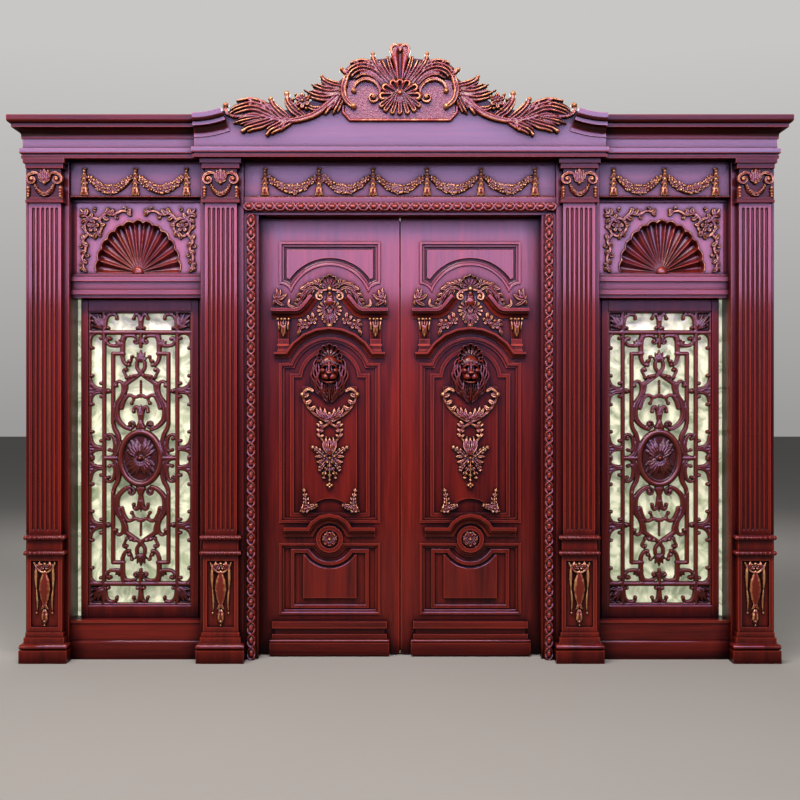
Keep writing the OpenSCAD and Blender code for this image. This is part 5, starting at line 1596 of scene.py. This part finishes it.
    def leaves(self, r: Relief) -> None:
        """Carves the corner leaves, the palmettes and the leaf tips on the scrolls.

        Args:
            r: The carving to work on.
        """
        h = self.thick
        r.stroke([(272, 842), (276, 846)], [112], [h * 0.4], 0.9)
        r.lobes([((236, 796), tip, w) for tip, w in self.corner], h * 1.35, 0.04)
        for base, tips in self.palmettes:
            r.lobes([(base, (x, z), w) for x, z, w in tips], h * 1.15)
        r.lobes(self.tips, h * 1.1)
        r.boss((200, 413), 15, h * 1.1)
        r.knobs([(0, z) for z in (470, 454, 438, 422, 406)], 8, h * 1.1)

    def oval(self, r: Relief) -> None:
        """Carves the oval medallion with its rosette.

        Args:
            r: The carving to work on.
        """
        h = self.thick
        a = np.radians(np.linspace(0, 90, 24))
        r.stroke(np.stack([124 * np.cos(a), 161 * np.sin(a)], 1), [38], [h * 1.2], 0.5)
        r.stroke([(0, 0), (0, 40)], [236, 214], [h * 0.62], 0.9)
        r.stroke([(0, 40), (0, 84)], [214, 156], [h * 0.62], 0.9)
        for angle, reach, stretch, across, up, width, high in self.petals:
            c, s = heading(angle)
            r.lobe((across * c, up * s), (reach * c, reach * stretch * s), width, h * high)
        r.boss((0, 0), 19, h * 1.6)

    def build(self) -> None:
        """Makes both grilles with their sash frames."""
        carved = self.draw()
        f, b, low, high, n = self.face, self.back, BAY_FOOT, BAY_TOP, self.half
        outer = n + self.stile
        for side, s in SIDES.items():
            x = s * BAY_X
            stop = sorted((x - s * outer, x - s * (outer + self.stop)))
            boxes = [
                (x - outer, x - n, f, b, low, high), (x + n, x + outer, f, b, low, high),
                (*stop, f + 12, b, low, high),
                (x - n, x + n, f, b, low, low + self.rail), (x - n, x + n, f, b, high - self.rail, high),
            ]
            add_blocks(f"sash_{side}", boxes, self.finish.upright, f"grille_{side}", round_off=4.0)
            add_carving(f"grille_carving_{side}", carved, on_face(x, self.seat, self.middle), self.finish.pierced)


@dataclass
class LeafCarving(Part):
    """The carving on one door leaf: cartouche, lion mask, garland, brackets and rosette."""

    face: float = row_y(70.0)
    relief: float = 26.0
    bracket_x: float = 282.8
    foot: Sequence[tuple] = (  # half width, reach forward, low, high
        (33, 26, 1866, 1948), (38, 31, 1902, 1916), (38, 31, 1866, 1882),
    )
    lip_half: float = 4.5
    lip_thick: float = 12.0
    lip_step: Sequence[float] = (18.0, 40.0)  # how far the left and the right lip lie behind the face
    lip_ends: Point = (20.0, 2680.0)
    stems: Sequence[tuple] = (  # points, widths
        (((40, 2262), (84, 2290), (126, 2282), (174, 2256)), (18, 22, 24, 20)),
        (((60, 2246), (100, 2264), (140, 2248), (172, 2206), (190, 2160)), (16, 24, 28, 26, 18)),
        (((176, 2176), (192, 2148), (226, 2144), (252, 2160), (248, 2190)), (20, 22, 20, 12)),
    )
    leaves: Sequence[tuple] = (  # base, tip, width
        ((96, 2256), (108, 2206), 26), ((122, 2248), (140, 2182), 28), ((150, 2226), (166, 2158), 26),
        ((112, 2270), (152, 2290), 22), ((146, 2250), (186, 2248), 24), ((166, 2222), (204, 2206), 24),
        ((180, 2190), (214, 2174), 20), ((66, 2280), (70, 2320), 24), ((80, 2286), (104, 2308), 20),
        ((196, 2158), (222, 2164), 16),
    )
    ribs: Path = ((90, 84), (66, 80), (42, 72), (16, 62))  # angle, length
    sprigs: Sequence[tuple] = (  # base, tip, width
        ((104, 2078), (110, 2112), 24), ((124, 2066), (140, 2092), 24), ((168, 2050), (192, 2066), 24),
        ((166, 2024), (188, 1990), 24), ((172, 2036), (200, 2030), 24), ((178, 2006), (190, 1962), 24),
        ((126, 2048), (122, 2018), 24),
    )
    sprays: Sequence[tuple] = (  # tip, width
        ((326, 2260), 26), ((264, 2226), 30), ((276, 2154), 28), ((346, 2222), 22), ((340, 2150), 22),
        ((300, 2254), 22),
    )
    crown: Path = ((90, 90), (63, 86), (38, 82), (14, 78), (-8, 76))  # angle, length
    mane: Path = (  # height, half width
        (1850, 40), (1832, 74), (1800, 100), (1766, 112), (1722, 114), (1678, 104), (1619, 82), (1577, 44), (1546, 4),
    )
    locks: Sequence[tuple] = (  # share of the mane's width, height, top, foot
        (0.97, 34, 1836, 1552), (0.85, 44, 1831, 1555), (0.73, 52, 1826, 1558), (0.62, 56, 1821, 1561),
        (0.5, 52, 1690, 1564),
    )
    ribbon: Path = ((168, 1606), (152, 1560), (116, 1508), (58, 1462), (0, 1430), (-44, 1402), (-66, 1364),
                    (-40, 1318))
    blades: Sequence[tuple] = (((20, 1452), (60, 1530), 25), ((8, 1450), (30, 1524), 25), ((0, 1448), (0, 1500), 25),
                               ((36, 1462), (86, 1528), 25))
    berries: Path = ((0, 1216), (14, 1190), (0, 1166), (0, 1056), (0, 1038), (12, 1048), (30, 1226), (24, 1120))

    def cartouche(self) -> Relief:
        """Carves the shell, volutes, acanthus and sprays at the top.

        Returns:
            The carving.
        """
        r = Relief(-352, 352, 1955, 2352, 2.8)
        h = self.relief
        r.bands(self.stems, [h * 0.9, h, h * 0.9], 30, 0.15, 0.3)
        r.lobes(self.leaves, h, 0.14, 0.35)
        hub = np.array([0.0, 2258.0])
        for angle, reach in self.ribs:
            way = heading(angle)
            end = hub + way * (reach - 12)
            r.stroke([hub + way * 14, end], [12, 28], [h * 0.7, h * 0.8], 0.6, 0.5)
            r.stroke(fan_edge(end, 12, angle, 80, 7), [6], [h * 1.25], 0.5)
        r.boss((0, 2256), 14, h * 1.35, 0.5)
        r.stroke([(0, 2236), (0, 2184)], [34, 50], [h * 0.6, h * 0.8], 0.5)
        r.boss((0, 2180), 27, h * 1.05, 0.5)
        r.lobe((0, 2240), (0, 2200), 20, h * 1.1)
        r.stroke(curve([(16, 2250), (46, 2246), (64, 2240)], 10), [14, 16], [h], 0.3, 0.2)
        r.scroll((59, 2208), 37, 110, -430, 18, h * 1.3)
        self.pendant(r)
        r.flower((104, 2062), 26, h, 5)
        r.flower((152, 2036), 28, h, 5)
        r.lobes(self.sprigs, h * 0.9, 0.1)
        r.lobes([((334, 2188), tip, w) for tip, w in self.sprays], h * 0.95, 0.1, 0.35)
        r.mirror()
        return r

    def pendant(self, r: Relief) -> None:
        """Carves the palmette that hangs under the volutes.

        Args:
            r: The carving to work on.
        """
        h = self.relief
        r.stroke([(0, 2160), (0, 2110), (0, 2050)], [118, 92, 34], [h * 0.2], 0.8)
        hub = np.array([20.0, 2126.0])
        for angle in np.linspace(108, -64, 7):
            way = heading(angle)
            r.stroke([hub + way * 10, hub + way * 30, hub + way * 50], [7, 14, 19], [h * 0.8, h, h * 1.1], 0.1, 0.3)
        for x, z in ((44, 2064), (30, 2046), (12, 2036)):
            rib = [(x * 0.3, 2104), (x * 0.7, (2104 + z) / 2), (x, z + 6)]
            r.stroke(rib, [10, 18, 19], [h * 0.8, h, h], 0.2, 0.4)
        r.lobe((0, 2096), (24, 2140), 15, h * 0.9, 0.1)
        r.boss((0, 2028), 20, h * 1.15)

    def lion(self) -> Relief:
        """Carves the lion's head with its mane and shell crest.

        Returns:
            The carving.
        """
        r = Relief(-140, 140, 1530, 1924, 2.4)
        hub = np.array([0.0, 1828.0])
        for angle, reach in self.crown:
            way = heading(angle)
            end = hub + way * (reach - 13)
            r.stroke([hub + way * 20, hub + way * 50, end], [16, 26, 32], [40, 26, 34], 0.7, 0.5)
            r.stroke(fan_edge(end, 13, angle, 86, 9), [6.5], [46], 0.6)
        tall, half = np.array(self.mane, float).T
        for k, (share, top, first, last) in enumerate(self.locks):
            z = np.linspace(first, last, 30)
            x = share * np.interp(-z, -tall, half) + 5.0 * np.sin((1840 - z) / 15 + 1.7 * k) - 3
            r.stroke(np.stack([np.maximum(x, 3.0), z], 1), [10, 17, 18, 17, 14, 7],
                     [top * 0.9, top, top * 1.05, top, top * 0.8, top * 0.5], 0.08, 0.15)
        for k in range(4):
            beard = curve([(3 + 12 * k, 1672 - 2 * k), (5 + 13 * k, 1640 - 4 * k), (2 + 8 * k, 1570 + 6 * k)])
            r.stroke(beard, [10, 15, 5], [62 - 2 * k, 58 - 2 * k, 32], 0.1, 0.18)
        self.face_of_lion(r)
        r.mirror()
        r.dent(curve([(22, 1770), (29, 1768)], 5), 13, 0.3)
        r.dent(curve([(0, 1694), (20, 1693), (34, 1697)], 16), 12, 0.5)
        r.dent(curve([(0, 1700), (0, 1722)], 6), 6, 0.12)
        r.dent([(7, 1729)], 11, 0.22)
        r.dent([(64, 1800)], 18, 0.55)
        return r

    def face_of_lion(self, r: Relief) -> None:
        """Carves the skull, forelocks, brows, cheeks, nose, muzzle, chin and ears.

        Args:
            r: The carving to work on.
        """
        muzzle = 92.0
        r.stroke([(0, 1790), (0, 1748), (0, 1716)], [104, 116, 98], [64, 72, 74], 0.55)
        for k in range(5):
            x = 15 * k
            r.lobe((x * 0.8, 1796 - k * k), (x + 3, 1836 - 1.6 * k * k), 17, 78 - 3 * k, 0.1, 0.2)
        r.stroke(curve([(6, 1784), (22, 1787), (44, 1774)]), [13, 15, 9], [85, 86, 74], 0.72)
        r.boss((36, 1752), 20, 84, 0.62)
        r.stroke([(0, 1798), (0, 1762), (0, 1738)], [20, 21, 30], [80, 88, muzzle * 1.03], 0.66)
        r.stroke([(-6, 1738), (6, 1738)], [27], [muzzle * 1.08], 0.8)
        r.boss((20, 1714), 24, muzzle * 0.99, 0.7)
        r.stroke(curve([(0, 1680), (20, 1682), (40, 1692)]), [20, 17, 10], [80, 78, 64], 0.66)
        r.boss((64, 1802), 16, 66, 0.5)

    def garland(self) -> Relief:
        """Carves the ribbons, the hanging cluster and the corner sprays.

        Returns:
            The carving.
        """
        r = Relief(-196, 196, 868, 1650, 3.0)
        h = self.relief
        ribbon = curve(self.ribbon, 40)
        r.stroke(ribbon, [16, 19, 19, 16, 14], [h * 0.6, h * 0.75, h * 0.75, h * 0.6], 0.3, 0.15)
        r.stroke(curve([(104, 1630), (124, 1640), (146, 1632), (168, 1608)], 14), [24, 24, 20, 16],
                 [h, h * 1.1, h * 0.9], 0.3, 0.2)
        r.boss((168, 1606), 14, h * 1.1)
        for k, t in enumerate(np.linspace(0.04, 0.5, 9)):
            x, z = ribbon[int(t * 39)]
            odd = k % 2
            r.lobe((x, z), (x - 40 + 14 * odd, z + 14 + 22 * odd), 25, h, 0.16 * (-1) ** k, 0.35)
        r.lobes(self.blades, h * 1.05, -0.1, 0.35)
        for z in (1404, 1372, 1342):
            r.lobe((58, z), (84, z + 22), 19, h * 0.85, 0.12)
            r.lobe((56, z), (34, z + 16), 17, h * 0.85, -0.1)
        r.lobe((44, 1418), (68, 1440), 20, h * 0.9, 0.1)
        self.cluster(r)
        self.spray(r)
        r.mirror()
        return r

    def cluster(self, r: Relief) -> None:
        """Carves the cluster of leaves and berries under the crossing.

        Args:
            r: The carving to work on.
        """
        h = self.relief
        for x, z, w in ((0, 1340, 22), (20, 1350, 22), (38, 1328, 20), (30, 1300, 20)):
            r.lobe((x * 0.2, 1236), (x, z), w, h * 1.1, -0.12, 0.3)
        r.acanthus(((6, 1206), (40, 1232), (74, 1262), (114, 1286)), 44, h, 5, 60)
        r.lobe((40, 1216), (92, 1222), 22, h * 0.9, 0.12)
        r.lobe((36, 1206), (84, 1190), 22, h * 0.9, -0.12)
        r.acanthus(((16, 1204), (46, 1172), (64, 1136)), 38, h * 0.95, 4, 60)
        r.acanthus(((8, 1160), (28, 1126), (36, 1088)), 32, h * 0.9, 3, 58)
        r.acanthus(((0, 1220), (0, 1150), (0, 1062)), 36, h * 1.1, 5, 54)
        r.knobs(self.berries, 10, h * 1.2)

    def spray(self, r: Relief) -> None:
        """Carves the corner spray at the foot of the field.

        Args:
            r: The carving to work on.
        """
        h = self.relief
        r.acanthus(((156, 896), (146, 950), (160, 1028)), 42, h, 5, 62)
        r.acanthus(((150, 902), (118, 912), (78, 924)), 38, h, 4, 62)
        r.flower((150, 902), 24, h * 1.1, 5)
        r.lobe((156, 900), (184, 884), 22, h * 0.8)

    def bracket(self) -> Relief:
        """Carves the leaf on a bracket.

        Returns:
            The carving.
        """
        r = Relief(-42, 42, 1936, 2078, 2.4)
        h = 40.0
        r.plume(((0, 2074), (0, 2030), (0, 1962)), (78, 76, 60, 30), h, 5, 0.1)
        r.lobe((0, 2040), (0, 1958), 34, h * 1.1)
        r.knobs([(x, 2068) for x in (-33, -11, 11, 33)], 11, h)
        return r

    def rosette(self) -> Relief:
        """Carves the rosette in the ring.

        Returns:
            The carving.
        """
        r = Relief(-66, 66, 650, 782, 2.4)
        for k in range(8):
            c, s = heading(45 * k + 22.5)
            r.lobe((10 * c, 716 + 10 * s), (56 * c, 716 + 56 * s), 24, 26)
        r.flower((0, 716), 46, 33, 8, 0)
        r.boss((0, 716), 14, 37)
        return r

    def build(self) -> None:
        """Makes the carving of both leaves."""
        made = {
            "cartouche": (self.cartouche(), self.finish.gilded), "lion_mask": (self.lion(), self.finish.carved),
            "garland": (self.garland(), self.finish.gilded),
        }
        bracket, rosette = self.bracket(), self.rosette()
        y = self.face
        for side, s in SIDES.items():
            x, body = s * LEAF_X, f"{side}_leaf"
            for name, (r, material) in made.items():
                add_carving(f"{name}_carving_{side}", r, on_face(x, y), material, f"{name}_{side}", body=body)
            for tag, m in (("a", x - self.bracket_x), ("b", x + self.bracket_x)):
                add_carving(f"bracket_leaf_{side}_{tag}", bracket, on_face(m, y - 8), self.finish.gilded, body=body)
                boxes = [(m - half, m + half, y - out, y + 1, low, high) for half, out, low, high in self.foot]
                add_blocks(f"bracket_foot_{side}_{tag}", boxes, self.finish.upright, body=body)
            front = y + self.lip_step[s > 0]
            lip = [(*sorted((0.0, s * self.lip_half)), front, front + self.lip_thick, *self.lip_ends)]
            add_blocks(f"meeting_lip_{side}", lip, self.finish.upright, body=body, round_off=0.3)
            add_carving(f"rosette_{side}", rosette, on_face(x, y), self.finish.tinted, body=body)


@dataclass
class Casing(Part):
    """The jambs and the head without their ribbon moulding."""

    opening: float = 860.0
    wide: float = 85.0
    deep: float = 190.0
    lip: float = 17.0
    rebate: float = 70.5
    cover: float = 8.0
    head: float = 105.0

    def section(self, wide: float) -> list[Point]:
        """The section of a board.

        Args:
            wide: The board's width.

        Returns:
            The corners in order, as distance from the opening and row y.
        """
        f, b, r = row_y(self.deep), row_y(0.0), row_y(self.rebate)
        lip, cover = self.lip, self.cover
        return [(0.0, r), (0.0, f + lip), (lip, f + lip), (lip, f), (wide, f), (wide, b), (cover, b), (cover, r)]

    def build(self) -> None:
        """Makes both jambs and the head."""
        for side, s in SIDES.items():
            outline = [(s * (self.opening + x), y) for x, y in self.section(self.wide)]
            jamb = prism_mesh(f"casing_{side}", outline, (0.0, DOOR_HEIGHT), True)
            add_piece(jamb, "frame", Slot.WOOD, self.finish.upright, f"jamb_{side}")
        outline = [(y, DOOR_HEIGHT + z) for z, y in self.section(self.head)]
        end = self.opening + self.wide
        head = prism_mesh("casing_head", outline, (-end, end), False)
        add_piece(head, "frame", Slot.WOOD, self.finish.level, "head")


@dataclass(frozen=True)
class Run:
    """A straight run of one small carving."""

    name: str
    count: int
    start: Spot
    step: Spot
    turn: float = 0.0


class RowMaker:
    """Repeats a small carving along straight runs with Geometry Nodes."""

    SOCKETS = {
        "Geometry": "Geometry", "Tile": "Object", "Count": "Int", "Start": "Vector", "Step": "Vector",
        "Turn": "Vector", "Finish": "Material",
    }

    def __init__(self) -> None:
        """Builds the node tree once for every run."""
        self.tree = bpy.data.node_groups.new("carved_row", "GeometryNodeTree")
        self.ids = {label: self.tree.interface.new_socket(label, socket_type=f"NodeSocket{kind}").identifier
                    for label, kind in self.SOCKETS.items()}
        self.tree.interface.new_socket("Geometry", in_out="OUTPUT", socket_type="NodeSocketGeometry")
        board = Board(self.tree)
        take = {s.name: s for s in self.tree.nodes.new("NodeGroupInput").outputs}
        line = board.add("GeometryNodeMeshLine", {
            "Count": take["Count"], "Start Location": take["Start"], "Offset": take["Step"]}, mode="OFFSET")
        tile = board.add("GeometryNodeObjectInfo", {"Object": take["Tile"]})
        turn = board.add("FunctionNodeEulerToRotation", {"Euler": take["Turn"]})
        placed = board.add("GeometryNodeInstanceOnPoints", {
            "Points": line.outputs["Mesh"], "Instance": tile.outputs["Geometry"],
            "Rotation": turn.outputs["Rotation"]})
        real = board.add("GeometryNodeRealizeInstances", {"Geometry": placed.outputs["Instances"]})
        done = board.add("GeometryNodeSetMaterial", {
            "Geometry": real.outputs["Geometry"], "Material": take["Finish"]})
        board.add("NodeGroupOutput", {"Geometry": done.outputs["Geometry"]})

    def add(self, run: Run, tile: Mesh, finish: Material) -> None:
        """Adds one run as a piece of the fixed frame.

        Args:
            run: The run to make.
            tile: The carving that repeats, about its own middle.
            finish: Its finish.
        """
        model = bpy.data.objects.new(run.name + "_tile", tile)
        host = bpy.data.objects.new(run.name + "_host", bpy.data.meshes.new(run.name + "_host"))
        for thing in (model, host):
            bpy.context.scene.collection.objects.link(thing)
        rows = host.modifiers.new("row", "NODES")
        rows.node_group = self.tree
        values = {
            "Tile": model, "Count": run.count, "Start": [c * MM for c in run.start],
            "Step": [c * MM for c in run.step], "Turn": [0.0, math.radians(run.turn), 0.0], "Finish": finish,
        }
        for label, value in values.items():
            rows[self.ids[label]] = value
        graph = bpy.context.evaluated_depsgraph_get()
        made = bpy.data.meshes.new_from_object(
            host.evaluated_get(graph), preserve_all_data_layers=True, depsgraph=graph)
        made.name = run.name
        host.modifiers.remove(rows)
        for thing in (host, model):
            bpy.data.objects.remove(thing)
        add_piece(made, "frame", Slot.GILT, finish)


@dataclass
class Rows(Part):
    """The repeated carving: the ribbon moulding, the pearl strings and the pilasters' bead bands."""

    ribbon_x: float = 901.2
    ribbon_y: float = row_y(190.0)
    beads: int = 35
    head_beads: int = 30
    head_w: float = 1890.0
    head_z: float = 2741.0
    pearl: float = 5.5
    pearl_pitch: float = 12.0
    pearl_rise: float = 3.7
    bead: Spot = (9.0, 5.0, 11.0)
    band_beads: int = 9
    band_z: Sequence[float] = (655.0, 747.0)
    band_y: float = row_y(278.0)
    band_half: float = 108.0

    def ribbon_tile(self, pitch: float) -> Mesh:
        """Carves one bead with the ribbons that cross round it.

        Args:
            pitch: Length of the tile in millimetres.

        Returns:
            The tile's mesh.
        """
        r = Relief(-27, 27, -pitch / 2, pitch / 2, 3.8)
        r.stroke([(0, -pitch), (0, pitch)], [48], [15], 0.4)
        for s in (-1, 1):
            for e in (-1, 1):
                half = [(0, e * pitch / 2), (s * 14, e * pitch * 0.36), (s * 21, e * pitch * 0.17), (s * 20, 0)]
                r.stroke(curve(half, 10), [13, 13, 10], [26, 24, 16], 0.4, 0.15)
        r.stroke([(0, -7), (0, 7)], [32], [29], 0.2)
        return r.mesh("ribbon_tile", on_face(0, 0))

    def build(self) -> None:
        """Makes every run."""
        maker = RowMaker()
        self.ribbons(maker, self.finish.carved)
        self.pearls(maker, self.finish.tinted)
        self.bands(maker, self.finish.tinted)

    def ribbons(self, maker: RowMaker, finish: Material) -> None:
        """Makes the ribbon moulding round the doorway.

        Args:
            maker: Makes the runs.
            finish: Their finish.
        """
        pitch = DOOR_HEIGHT / self.beads
        tile = self.ribbon_tile(pitch)
        for side, s in SIDES.items():
            start = (s * self.ribbon_x, self.ribbon_y, pitch / 2)
            maker.add(Run(f"jamb_ribbon_{side}", self.beads, start, (0, 0, pitch)), tile, finish)
        pitch = self.head_w / self.head_beads
        start = (-self.head_w / 2 + pitch / 2, self.ribbon_y, self.head_z)
        maker.add(Run("head_ribbon", self.head_beads, start, (pitch, 0, 0), 90), self.ribbon_tile(pitch), finish)

    def pearls(self, maker: RowMaker, finish: Material) -> None:
        """Makes the pearl strings under the friezes.

        Args:
            maker: Makes the runs.
            finish: Their finish.
        """
        tile = pearl_mesh("pearl_tile", (self.pearl,) * 3, 0.75)
        pitch = self.pearl_pitch
        for part in ("left", "center", "right"):
            low, high = (np.array(c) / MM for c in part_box(f"frieze_{part}"))
            count = int((high[0] - low[0]) / pitch)
            start = ((low[0] + high[0]) / 2 - pitch * (count - 1) / 2, low[1], low[2] + self.pearl_rise)
            maker.add(Run(f"pearls_{part}", count, start, (pitch, 0, 0)), tile, finish)

    def bands(self, maker: RowMaker, finish: Material) -> None:
        """Makes the bead bands at the foot of each pilaster.

        Args:
            maker: Makes the runs.
            finish: Their finish.
        """
        tile = pearl_mesh("band_tile", self.bead, 0.7)
        step = 2 * self.band_half / (self.band_beads - 1)
        for name, x in PILASTERS.items():
            for k, z in enumerate(self.band_z):
                start = (x - self.band_half, self.band_y, z)
                maker.add(Run(f"band_{name}_{k}", self.band_beads, start, (step, 0, 0)), tile, finish)


@dataclass
class Dressing(Part):
    """Finishes for the CAD nodes that keep their shape."""

    ease: float = 2.6
    fine: float = 0.6
    weld: float = 0.00002
    corner: float = 38.0
    # the cornices, the pediment and the friezes take the darker finishes with painted shade
    own: Sequence[tuple[str, str]] = (("glass", "glass"), ("hinge", "brass"), ("cornice", "crown"),
                                      ("pediment", "pediment"), ("frieze", "frieze"))
    level: Sequence[str] = ("head", "base_panel", "leaf_base", "lower_cornice", "arch_cornice")

    def finish_for(self, name: str) -> Material:
        """The finish of a CAD node, by its name.

        Args:
            name: The node's name.

        Returns:
            The finish.
        """
        for start, kind in self.own:
            if name.startswith(start):
                return getattr(self.finish, kind)
        return self.finish.level if name.startswith(tuple(self.level)) else self.finish.upright

    def build(self) -> None:
        """Gives every shown CAD node its finish and eased edges."""
        for name, node in sorted(frame["nodes"].items()):
            material = self.finish_for(name)
            for place in node.material_slots:
                place.material = material
            if node.hide_render:
                continue
            weld = node.modifiers.new("weld", "WELD")
            weld.merge_threshold = self.weld
            ease = node.modifiers.new("ease", "BEVEL")
            ease.width = (self.fine if name.startswith(("hinge", "glass")) else self.ease) * MM
            ease.segments = 2
            ease.limit_method = "ANGLE"
            ease.angle_limit = math.radians(self.corner)
            ease.use_clamp_overlap = True
            log.info("%s: %s", name, material.name)


@dataclass(frozen=True)
class Lamp:
    """A soft lamp."""

    name: str
    place: Spot
    aim: Spot
    size: Point
    watts: float
    color: Spot
    sheen_only: bool = False

    def hang(self) -> None:
        """Hangs the lamp."""
        data = bpy.data.lights.new(self.name, "AREA")
        data.shape, (data.size, data.size_y) = "RECTANGLE", self.size
        data.energy, data.color = self.watts, self.color
        lamp = bpy.data.objects.new(self.name, data)
        lamp.visible_diffuse = not self.sheen_only
        lamp.location = self.place
        lamp.rotation_euler = (Vector(self.aim) - Vector(self.place)).to_track_quat("-Z", "Y").to_euler()
        bpy.context.scene.collection.objects.link(lamp)


@dataclass
class Studio:
    """The camera, the pale stage and the soft lights."""

    eye: Spot = (0.0, -6.5715, 1.572)
    lens: float = 48.75
    sensor: float = 36.0
    pale: Rgb = (0.25, 0.249, 0.245, 1.0)
    haze: float = 1.06
    far: float = 40.0
    sunk: float = 0.0005
    dim: Rgb = (0.02, 0.019, 0.02, 1.0)
    bright: Rgb = (0.58, 0.57, 0.56, 1.0)
    behind: Point = (-0.1, 0.5)
    aside: Point = (0.16, 0.30)
    above: Point = (0.10, 0.21)
    rise: Point = (-0.02, 0.3)
    lamps: Sequence[Lamp] = (
        Lamp("violet_low", (0.0, -8.6, 3.9), (0.0, 0.0, 2.9), (13.0, 1.8), 1200.0, (0.80, 0.49, 1.0), True),
        Lamp("violet_high", (0.0, -8.6, 5.8), (0.0, 0.0, 3.2), (13.0, 1.9), 2050.0, (0.63, 0.50, 1.0), True),
        Lamp("key", (-1.0, -3.3, 6.2), (0.0, 0.0, 1.9), (7.0, 0.9), 860.0, (1.0, 0.90, 0.84)),
        Lamp("back_fill", (0.0, 7.0, 5.0), (0.0, 0.0, 1.6), (6.0, 2.0), 260.0, (1.0, 0.95, 0.90)),
        Lamp("left_fill", (-6.5, -5.0, 2.2), (0.0, 0.0, 1.2), (1.6, 3.6), 90.0, (1.0, 0.93, 0.86)),
        Lamp("right_fill", (6.5, -5.0, 2.2), (0.0, 0.0, 1.2), (1.6, 3.6), 60.0, (1.0, 0.93, 0.86)),
    )

    def camera(self) -> None:
        """Sets the camera at the photo's view."""
        data = bpy.data.cameras.new("camera")
        data.lens, data.sensor_width = self.lens, self.sensor
        cam = bpy.data.objects.new("camera", data)
        cam.location, cam.rotation_euler = self.eye, (math.pi / 2, 0.0, 0.0)
        bpy.context.scene.collection.objects.link(cam)
        bpy.context.scene.camera = cam

    def floor(self) -> None:
        """Lays the pale floor."""
        mesh = bpy.data.meshes.new("stage_floor")
        corners = ((-1, -1), (1, -1), (1, 1), (-1, 1))
        mesh.from_pydata([(x * self.far, y * self.far, -self.sunk) for x, y in corners], [], [(0, 1, 2, 3)])
        material, board, shader, spot = blank_material("pale_floor")
        light = (*(c * self.haze for c in self.pale[:3]), 1.0)
        board.wire(shader, {"Base Color": board.mix(board.noise(spot, 0.8), self.pale, light), "Roughness": 0.6,
                            "Specular IOR Level": 0.0})
        mesh.materials.append(material)
        floor = bpy.data.objects.new("stage_floor", mesh)
        bpy.context.scene.collection.objects.link(floor)
        floor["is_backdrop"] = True

    def sky(self) -> None:
        """Makes the surroundings: pale behind the door, dim in front, and dark low behind the leaves as painted shade
        that shows through the gaps between them.
        """
        world = bpy.data.worlds.new("pale_sky")
        world.use_nodes = True
        board = Board(world.node_tree)
        way = board.add("ShaderNodeTexCoord").outputs["Generated"]
        axis = board.add("ShaderNodeSeparateXYZ", {"Vector": way}).outputs
        behind = board.ramp(axis["Y"], self.behind)
        aside = board.ramp(board.math("ABSOLUTE", axis["X"], 0.0), self.aside)
        above = board.ramp(axis["Z"], self.above)
        rise = board.ramp(axis["Z"], self.rise, (0.55, 1.0))
        # painted shade: the sky stays dark in the directions hidden behind the door, so the gaps read as shade
        clear = board.math("MULTIPLY", board.math("MULTIPLY", behind, rise), board.math("MAXIMUM", aside, above))
        board.wire(world.node_tree.nodes["Background"], {"Color": board.mix(clear, self.dim, self.bright)})
        bpy.context.scene.world = world

    def build(self) -> None:
        """Sets up the camera, the floor, the surroundings and the lamps."""
        self.camera()
        self.floor()
        self.sky()
        for lamp in self.lamps:
            lamp.hang()
        bpy.context.scene.view_settings.view_transform = "Standard"


def main() -> None:
    """Builds the dressed door."""
    logging.basicConfig(level=logging.INFO, format="%(message)s")
    finish = Finishes.make()
    for part in (Crest, Capitals, Swags, ShellPanels, Trophies, Grilles, LeafCarving, Casing, Rows, Dressing):
        part(finish).build()
    Studio().build()
    sizes = {name: [list(map(float, corner)) for corner in box]
             for name, box in (("cad", CAD_BOX), ("visual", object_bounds()))}
    log.info("sizes %s", sizes)


if __name__ == "__main__":
    main()
